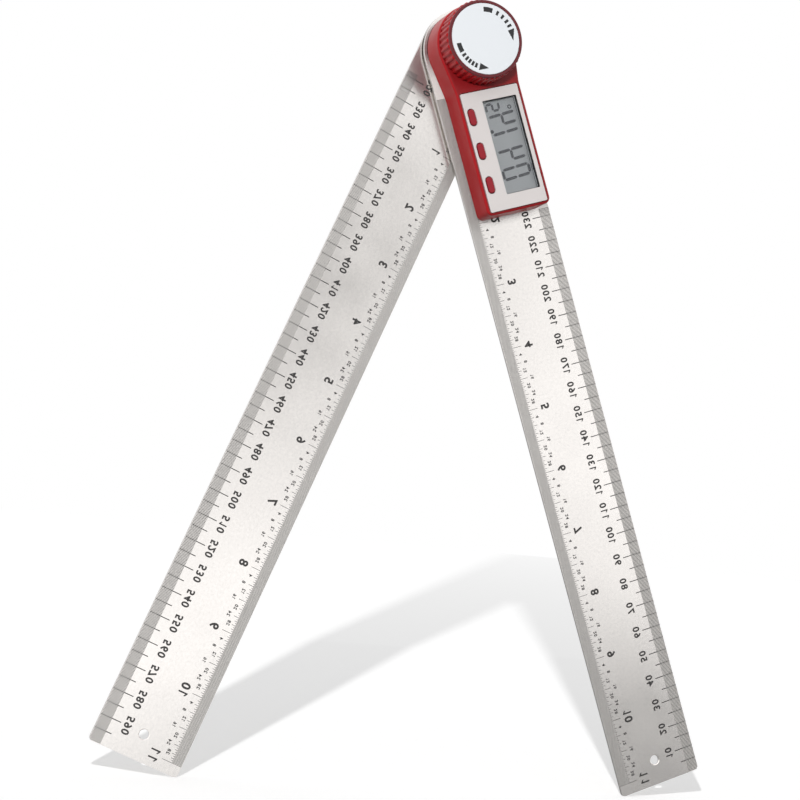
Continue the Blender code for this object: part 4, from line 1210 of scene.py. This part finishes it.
class ANGLE_OT_knob(bpy.types.Operator):
    """The ribbed lock knob, its disc and the disc's arrows"""

    bl_idname = "angle_finder.knob"
    bl_label = "Lock knob"

    def execute(self, context):
        knob = context.scene.angle_knob
        self.ribbed_knob(knob)
        disc = PLACES["knob_disc"]
        radius, face = knob.disc_radius, disc.high.z - MARK_PROUD
        profile = [(radius - LIP, disc.low.z), (radius, disc.low.z + LIP)]
        profile += rounding(radius, face, RIM_STEP, 1, 1, 4)
        white = plastic("white_disc", knob.disc, 0.38, 0.02, 3000.0, 0.5)
        obj = piece("knob_white_disc", turned_shape(profile), white)
        dress(obj, "knob", "disc_white", "knob_disc")
        self.arrows(knob, face)
        return {"FINISHED"}

    def ribbed_knob(self, knob):
        """One profile of (radius, height, rib depth), all the way round."""
        place, insert = PLACES["lock_knob"], PLACES["knob_insert"]
        back, front = place.low.z, place.high.z
        root, depth = place.high.x - knob.rib_depth, knob.rib_depth
        disc_radius = knob.disc_radius + LIP
        disc_floor = PLACES["knob_disc"].low.z - FIT
        ceiling = disc_floor - knob.web
        skirt = knob.rim_radius - knob.skirt
        rib_front = front - knob.rim_height
        bore = insert.high.x + FIT
        boss = bore + knob.boss_wall
        plain = [(disc_radius, disc_floor), (disc_radius, front - LIP), (disc_radius + LIP, front)]
        plain += rounding(knob.rim_radius, front, knob.edge, 1, 1, 4)[::-1]
        plain.append((knob.rim_radius, rib_front + RIM_STEP + LIP))
        plain.append((knob.rim_radius - RIM_STEP, rib_front + LIP))
        inner = [(skirt, back), (skirt, ceiling), (boss, ceiling), (boss, insert.low.z)]
        inner += [(bore, insert.low.z), (bore, insert.high.z + FIT)]
        ribs = [(rib_front - RIB_FADE * i / 4, depth * math.sin(QUARTER * i / 4)) for i in range(5)]
        profile = [(*point, 0.0) for point in plain]
        profile += [(root, height, rise) for height, rise in ribs]
        profile += [(root, back + RIM_STEP + LIP, depth), (root - RIM_STEP, back, depth)]
        profile += [(*point, 0.0) for point in inner]
        turns = [math.tau * i / (knob.ribs * 10) for i in range(knob.ribs * 10)]
        spokes = [(math.cos(turn), math.sin(turn), self.swell(turn, knob.ribs)) for turn in turns]
        rings = [
            [((radius + rise * s) * x, (radius + rise * s) * y, height) for x, y, s in spokes]
            for radius, height, rise in profile
        ]
        # The rim's faces get the dark red, painted shade round the disc.
        rim = plastic("knob_rim_painted_shade", knob.rim, 0.33, 0.05, 3500.0, 0.35)
        obj = piece("ribbed_knob", loft_shape(rings), red_plastic(), rim)
        paint(obj, lambda face: face.center.z > rib_front)
        dress(obj, "knob", "case_red", "lock_knob")

    def swell(self, turn, ribs):
        """How far a rib stands out at a turn, from 0 at its foot to 1 at its crest."""
        wave = 0.5 - 0.5 * math.cos(ribs * turn + RIB_LEAN)
        wave = min(max(1.5 * wave - 0.25, 0.0), 1.0)
        return wave * wave * (3 - 2 * wave)

    def arrows(self, knob, face):
        """Two arrows, each a bar, its dashes and a head whose foot is square to the bar."""
        marks = Marks(face)
        steps = 8
        radii = (knob.arrow_radius - knob.arrow_width / 2, knob.arrow_radius + knob.arrow_width / 2)
        faces = [(steps + 1 + i, steps + 2 + i, i + 1, i) for i in range(steps)]
        for bar, dashes in BARS.items():
            for ends in [bar] + [(dash - DASH / 2, dash + DASH / 2) for dash in dashes]:
                start, end = (math.radians(turn) for turn in sorted(ends))
                inside, outside = (arc((0, 0), radius, start, end, steps) for radius in radii)
                marks.add(flat_shape(inside + outside, faces))
        wing = knob.arrow_width * HEAD_SHARE
        for foot, tip in HEADS:
            places = [(wing, foot), (-wing, foot), (0, tip)][:: -1 if tip > foot else 1]
            corners = [
                arc((0, 0), knob.arrow_radius + out, math.radians(turn), 0, 1)[0]
                for out, turn in places
            ]
            marks.add(flat_shape(corners, [(0, 1, 2)]))
        ink = plastic("black_print", (0.012, 0.012, 0.013), 0.45, 0.1, 5000.0)
        marks.seat("knob_arrows", ink, "knob")


class ANGLE_OT_back(bpy.types.Operator):
    """The rear cap and the battery cover"""

    bl_idname = "angle_finder.back"
    bl_label = "Back"

    def execute(self, context):
        cap = PLACES["rear_cap"]
        radius, bottom, top = cap.high.x, cap.low.z, cap.high.z
        inner = radius - CAP_SKIRT
        profile = rounding(radius, bottom, CAP_EDGE, 1, -1, 5)[::-1]
        profile += [(radius, top - LIP), (radius - LIP, top), (inner, top)]
        profile.append((inner, bottom + CAP_WALL))
        obj = piece("rear_dust_cap", turned_shape(profile), red_plastic())
        dress(obj, "moving_arm", "case_red", "rear_cap")
        finish_node("battery_cover", black_plastic())
        return {"FINISHED"}


class ANGLE_OT_screws(bpy.types.Operator):
    """Countersunk screws with cross recesses"""

    bl_idname = "angle_finder.screws"
    bl_label = "Screws"

    def execute(self, context):
        for i in range(1, 5):
            self.screw(f"case_screw_{i}", -1)
        for i in range(1, 4):
            self.screw(f"hub_screw_{i}", 1)
        return {"FINISHED"}

    def screw(self, node, mouth):
        """A screw whose head faces the front for 1, and the back for -1."""
        place = PLACES[node]
        foot, face = (place.low.z, place.high.z)[::mouth]
        head, tip = place.size.x / 2, 0.0002
        profile = [(head - LIP, face), (head, face - mouth * LIP / 2)]
        profile += [(SHANK, face - mouth * SHANK), (SHANK, foot + mouth * tip), (SHANK - tip, foot)]
        obj = piece(node + "_driven", turned_shape(profile, place.middle, 40), screw_steel())
        blades = []
        for size in ((DRIVE_WIDE, DRIVE_LONG), (DRIVE_LONG, DRIVE_WIDE)):
            wide = rounded_box(place.middle, *size, LIP, 2)
            narrow = [side * DRIVE_TAPER for side in size]
            narrow = rounded_box(place.middle, *narrow, LIP / 2, 2)
            ends = [raised(wide, face + mouth * LIP), raised(narrow, face - mouth * DRIVE_DEEP)]
            blades.append(loft_shape(ends))
        work(obj, ("DIFFERENCE", blades))
        dress(obj, place.body, "screw_steel", node)


class ANGLE_OT_inner(bpy.types.Operator):
    """Finishes of the pieces inside the head"""

    bl_idname = "angle_finder.inner"
    bl_label = "Inner pieces"

    def execute(self, context):
        board = plastic("solder_mask", (0.02, 0.16, 0.07), 0.35, 0.15, 1500.0)
        brass = metal("turned_brass", (0.70, 0.50, 0.18), 0.28, 5000.0, 0.10, 1.0)
        plated = metal("plated_cell", (0.66, 0.66, 0.66), 0.22, 3000.0, 0.06, 1.0)
        nylon = plastic("natural_nylon", (0.75, 0.73, 0.68), 0.5, 0.06, 2500.0)
        rubber = plastic("connector_rubber", (0.18, 0.18, 0.19), 0.75, 0.15, 3500.0, 0.3)
        finishes = {
            board: ("circuit_board", "encoder_rotor"),
            brass: ("pivot_hub", "knob_insert", "contact_plus", "contact_minus"),
            plated: ("battery", "switch_dome_1", "switch_dome_2", "switch_dome_3"),
            nylon: ("pivot_bushing", "friction_washer"),
            rubber: ("zebra_strip_1", "zebra_strip_2"),
            black_plastic(): ("battery_holder",),
            screw_steel(): ("pivot_bolt", "knob_washer", "rotor_clip"),
        }
        for finish, nodes in finishes.items():
            for node in nodes:
                finish_node(node, finish)
        return {"FINISHED"}


class ANGLE_OT_stage(bpy.types.Operator):
    """Floor, backdrop, lamps, surroundings and camera"""

    bl_idname = "angle_finder.stage"
    bl_label = "Stage"

    def execute(self, context):
        stage = context.scene.angle_stage
        self.sky(stage)
        self.lamps(stage, self.floor(stage))
        self.camera()
        context.scene.view_settings.view_transform = "Standard"
        return {"FINISHED"}

    def floor(self, stage):
        """A flat floor that rises a little behind the tool."""
        low = cad_box[0].z
        bend = low + math.tan(stage.slope) * FLOOR_BEND
        far = bend + math.tan(stage.far_slope) * (FLOOR_DEEP - FLOOR_BEND)
        rows = [(FLOOR_NEAR, low), (0.0, low), (FLOOR_BEND, bend), (FLOOR_DEEP, far)]
        corners = [(x, y, z) for y, z in rows for x in (-FLOOR_WIDE, FLOOR_WIDE)]
        mesh = bpy.data.meshes.new("studio_floor")
        mesh.from_pydata(corners, [], [(i, i + 1, i + 3, i + 2) for i in (0, 2, 4)])
        mesh.materials.append(self.floor_finish(stage))
        obj = add_object("studio_floor", mesh)
        return obj

    def floor_finish(self, stage):
        """Matt white, lifted to plain white for the camera, and a shaded floor for reflections."""
        made = bpy.data.materials.new("white_floor")
        made.use_nodes = True
        tree = made.node_tree
        tree.nodes.clear()
        rays = put(tree, "ShaderNodeLightPath").outputs
        place = object_place(tree)
        dim = (*(Vector(stage.floor) * stage.bounce), 1.0)
        tone = blended(tree, rays["Is Diffuse Ray"], (*stage.floor, 1.0), dim)
        matt = put(tree, "ShaderNodeBsdfDiffuse", {"Color": tone}).outputs[0]
        seen = times(tree, rays["Is Camera Ray"], self.floor_glow(tree, place, stage))
        glow = put(tree, "ShaderNodeEmission", {"Strength": seen}).outputs[0]
        lit = put(tree, "ShaderNodeAddShader", {0: matt, 1: glow}).outputs[0]
        way, near, far, darkest = FLOOR_MIRROR
        toward = vectors(tree, "DOT_PRODUCT", place, way)
        mirror = spread(tree, toward, near, far, MIRROR_BRIGHT, darkest)
        mirrored = put(tree, "ShaderNodeEmission", {"Strength": mirror}).outputs[0]
        inputs = {0: shiny_rays(tree, rays), 1: lit, 2: mirrored}
        lit = put(tree, "ShaderNodeMixShader", inputs).outputs[0]
        away = put(tree, "ShaderNodeNewGeometry").outputs["Backfacing"]
        unseen = put(tree, "ShaderNodeBsdfTransparent").outputs[0]
        mixed = put(tree, "ShaderNodeMixShader", {0: away, 1: lit, 2: unseen}).outputs[0]
        put(tree, "ShaderNodeOutputMaterial", {"Surface": mixed})
        return made

    def floor_glow(self, tree, place, stage):
        """What the open floor lacks of plain white, once the sky and its lamp have lit it."""
        even = (stage.sky_left + stage.sky_right) / 2 * stage.floor[0]
        lamp = stage.floor[0] * stage.floor_key / (4 * math.pi * math.pi)
        toward = vectors(tree, "SUBTRACT", LAMP_PLACE, place)
        normal = put(tree, "ShaderNodeNewGeometry").outputs["Normal"]
        rise = vectors(tree, "DOT_PRODUCT", toward, normal)
        square = vectors(tree, "DOT_PRODUCT", toward, toward)
        slow = maths(tree, "POWER", square, (FLOOR_FALL - 1) / 2)
        lamp_lit = times(tree, times(tree, rise, slow), lamp)
        return maths(tree, "MAXIMUM", maths(tree, "SUBTRACT", WHITE_MARGIN - even, lamp_lit), 0.0)

    def sky(self, stage):
        """White to the camera, near white with dark patches in reflections, even for the rest."""
        world = bpy.data.worlds.new("studio")
        bpy.context.scene.world = world
        world.use_nodes = True
        tree = world.node_tree
        tree.nodes.clear()
        way = put(tree, "ShaderNodeTexCoord").outputs["Generated"]
        shades = [
            spread(tree, vectors(tree, "DISTANCE", way, middle), 0.0, reach, darkest, MIRROR_BRIGHT)
            for middle, reach, darkest in SKY_SHADES
        ]
        across = put(tree, "ShaderNodeSeparateXYZ", {0: way}).outputs[0]
        even = spread(tree, across, -1.0, 1.0, stage.sky_left, stage.sky_right)
        rays = put(tree, "ShaderNodeLightPath").outputs
        strength = between(tree, shiny_rays(tree, rays), even, maths(tree, "MINIMUM", *shades))
        strength = between(tree, rays["Is Camera Ray"], strength, 1.0)
        light = put(tree, "ShaderNodeBackground", {"Color": (1, 1, 1, 1), "Strength": strength})
        put(tree, "ShaderNodeOutputWorld", {"Surface": light.outputs[0]})

    def lamps(self, stage, floor):
        """One lamp beside the camera for the tool, and one at the same place for the floor."""
        key = self.lamp("key_lamp", stage.key, KEY_LAMP_RADIUS, floor, "EXCLUDE")
        key.visible_glossy = False
        key.visible_transmission = False
        low = self.lamp("floor_lamp", stage.floor_key, FLOOR_LAMP_RADIUS, floor, "INCLUDE")
        low.data.use_nodes = True
        tree = low.data.node_tree
        way = put(tree, "ShaderNodeLightPath").outputs["Ray Length"]
        inputs = {"Strength": maths(tree, "POWER", way, FLOOR_FALL)}
        even = put(tree, "ShaderNodeLightFalloff", inputs).outputs["Constant"]
        feed(tree, tree.nodes["Emission"], Strength=even)

    def lamp(self, name, power, radius, floor, state):
        """A lamp that lights the floor alone, or all but the floor."""
        light = bpy.data.lights.new(name, "POINT")
        light.energy = power
        light.shadow_soft_size = radius
        obj = add_object(name, light)
        obj.location = LAMP_PLACE
        lit = bpy.data.collections.new(name + "_" + state.lower())
        lit.objects.link(floor)
        lit.collection_objects[0].light_linking.link_state = state
        obj.light_linking.receiver_collection = lit
        return obj

    def camera(self):
        data = bpy.data.cameras.new("camera")
        data.lens = LENS
        look = CAMERA_LOOK.normalized()
        right = look.cross(CAMERA_UP).normalized()
        turned = Matrix((right, right.cross(look), -look)).transposed().to_4x4()
        obj = add_object("camera", data)
        obj.matrix_world = Matrix.Translation(CAMERA_PLACE) @ turned
        bpy.context.scene.camera = obj


OPERATORS = (
    ANGLE_OT_rules,
    ANGLE_OT_case,
    ANGLE_OT_faceplate,
    ANGLE_OT_buttons,
    ANGLE_OT_display,
    ANGLE_OT_knob,
    ANGLE_OT_back,
    ANGLE_OT_screws,
    ANGLE_OT_inner,
    ANGLE_OT_stage,
)


class ANGLE_PT_sidebar(bpy.types.Panel):
    """Sizes, colours and steps of the angle finder"""

    bl_idname = "ANGLE_PT_sidebar"
    bl_label = "Angle Finder"
    bl_space_type = "VIEW_3D"
    bl_region_type = "UI"
    bl_category = "Angle Finder"

    def draw(self, context):
        for name, group in SETTINGS.items():
            box = self.layout.box()
            box.label(text=group.__doc__)
            for field in group.__annotations__:
                box.prop(getattr(context.scene, name), field)
        for operator in OPERATORS:
            self.layout.operator(operator.bl_idname)


CLASSES = (*SETTINGS.values(), *OPERATORS, ANGLE_PT_sidebar)


def register():
    for made in CLASSES:
        bpy.utils.register_class(made)
    for name, group in SETTINGS.items():
        setattr(bpy.types.Scene, name, PointerProperty(type=group))


def unregister():
    for name in SETTINGS:
        delattr(bpy.types.Scene, name)
    for made in reversed(CLASSES):
        bpy.utils.unregister_class(made)


def main():
    register()
    steps = bpy.ops.angle_finder
    steps.rules()
    steps.case()
    steps.faceplate()
    steps.buttons()
    steps.display()
    steps.knob()
    steps.back()
    steps.screws()
    steps.inner()
    steps.stage()


if __name__ == "__main__":
    main()
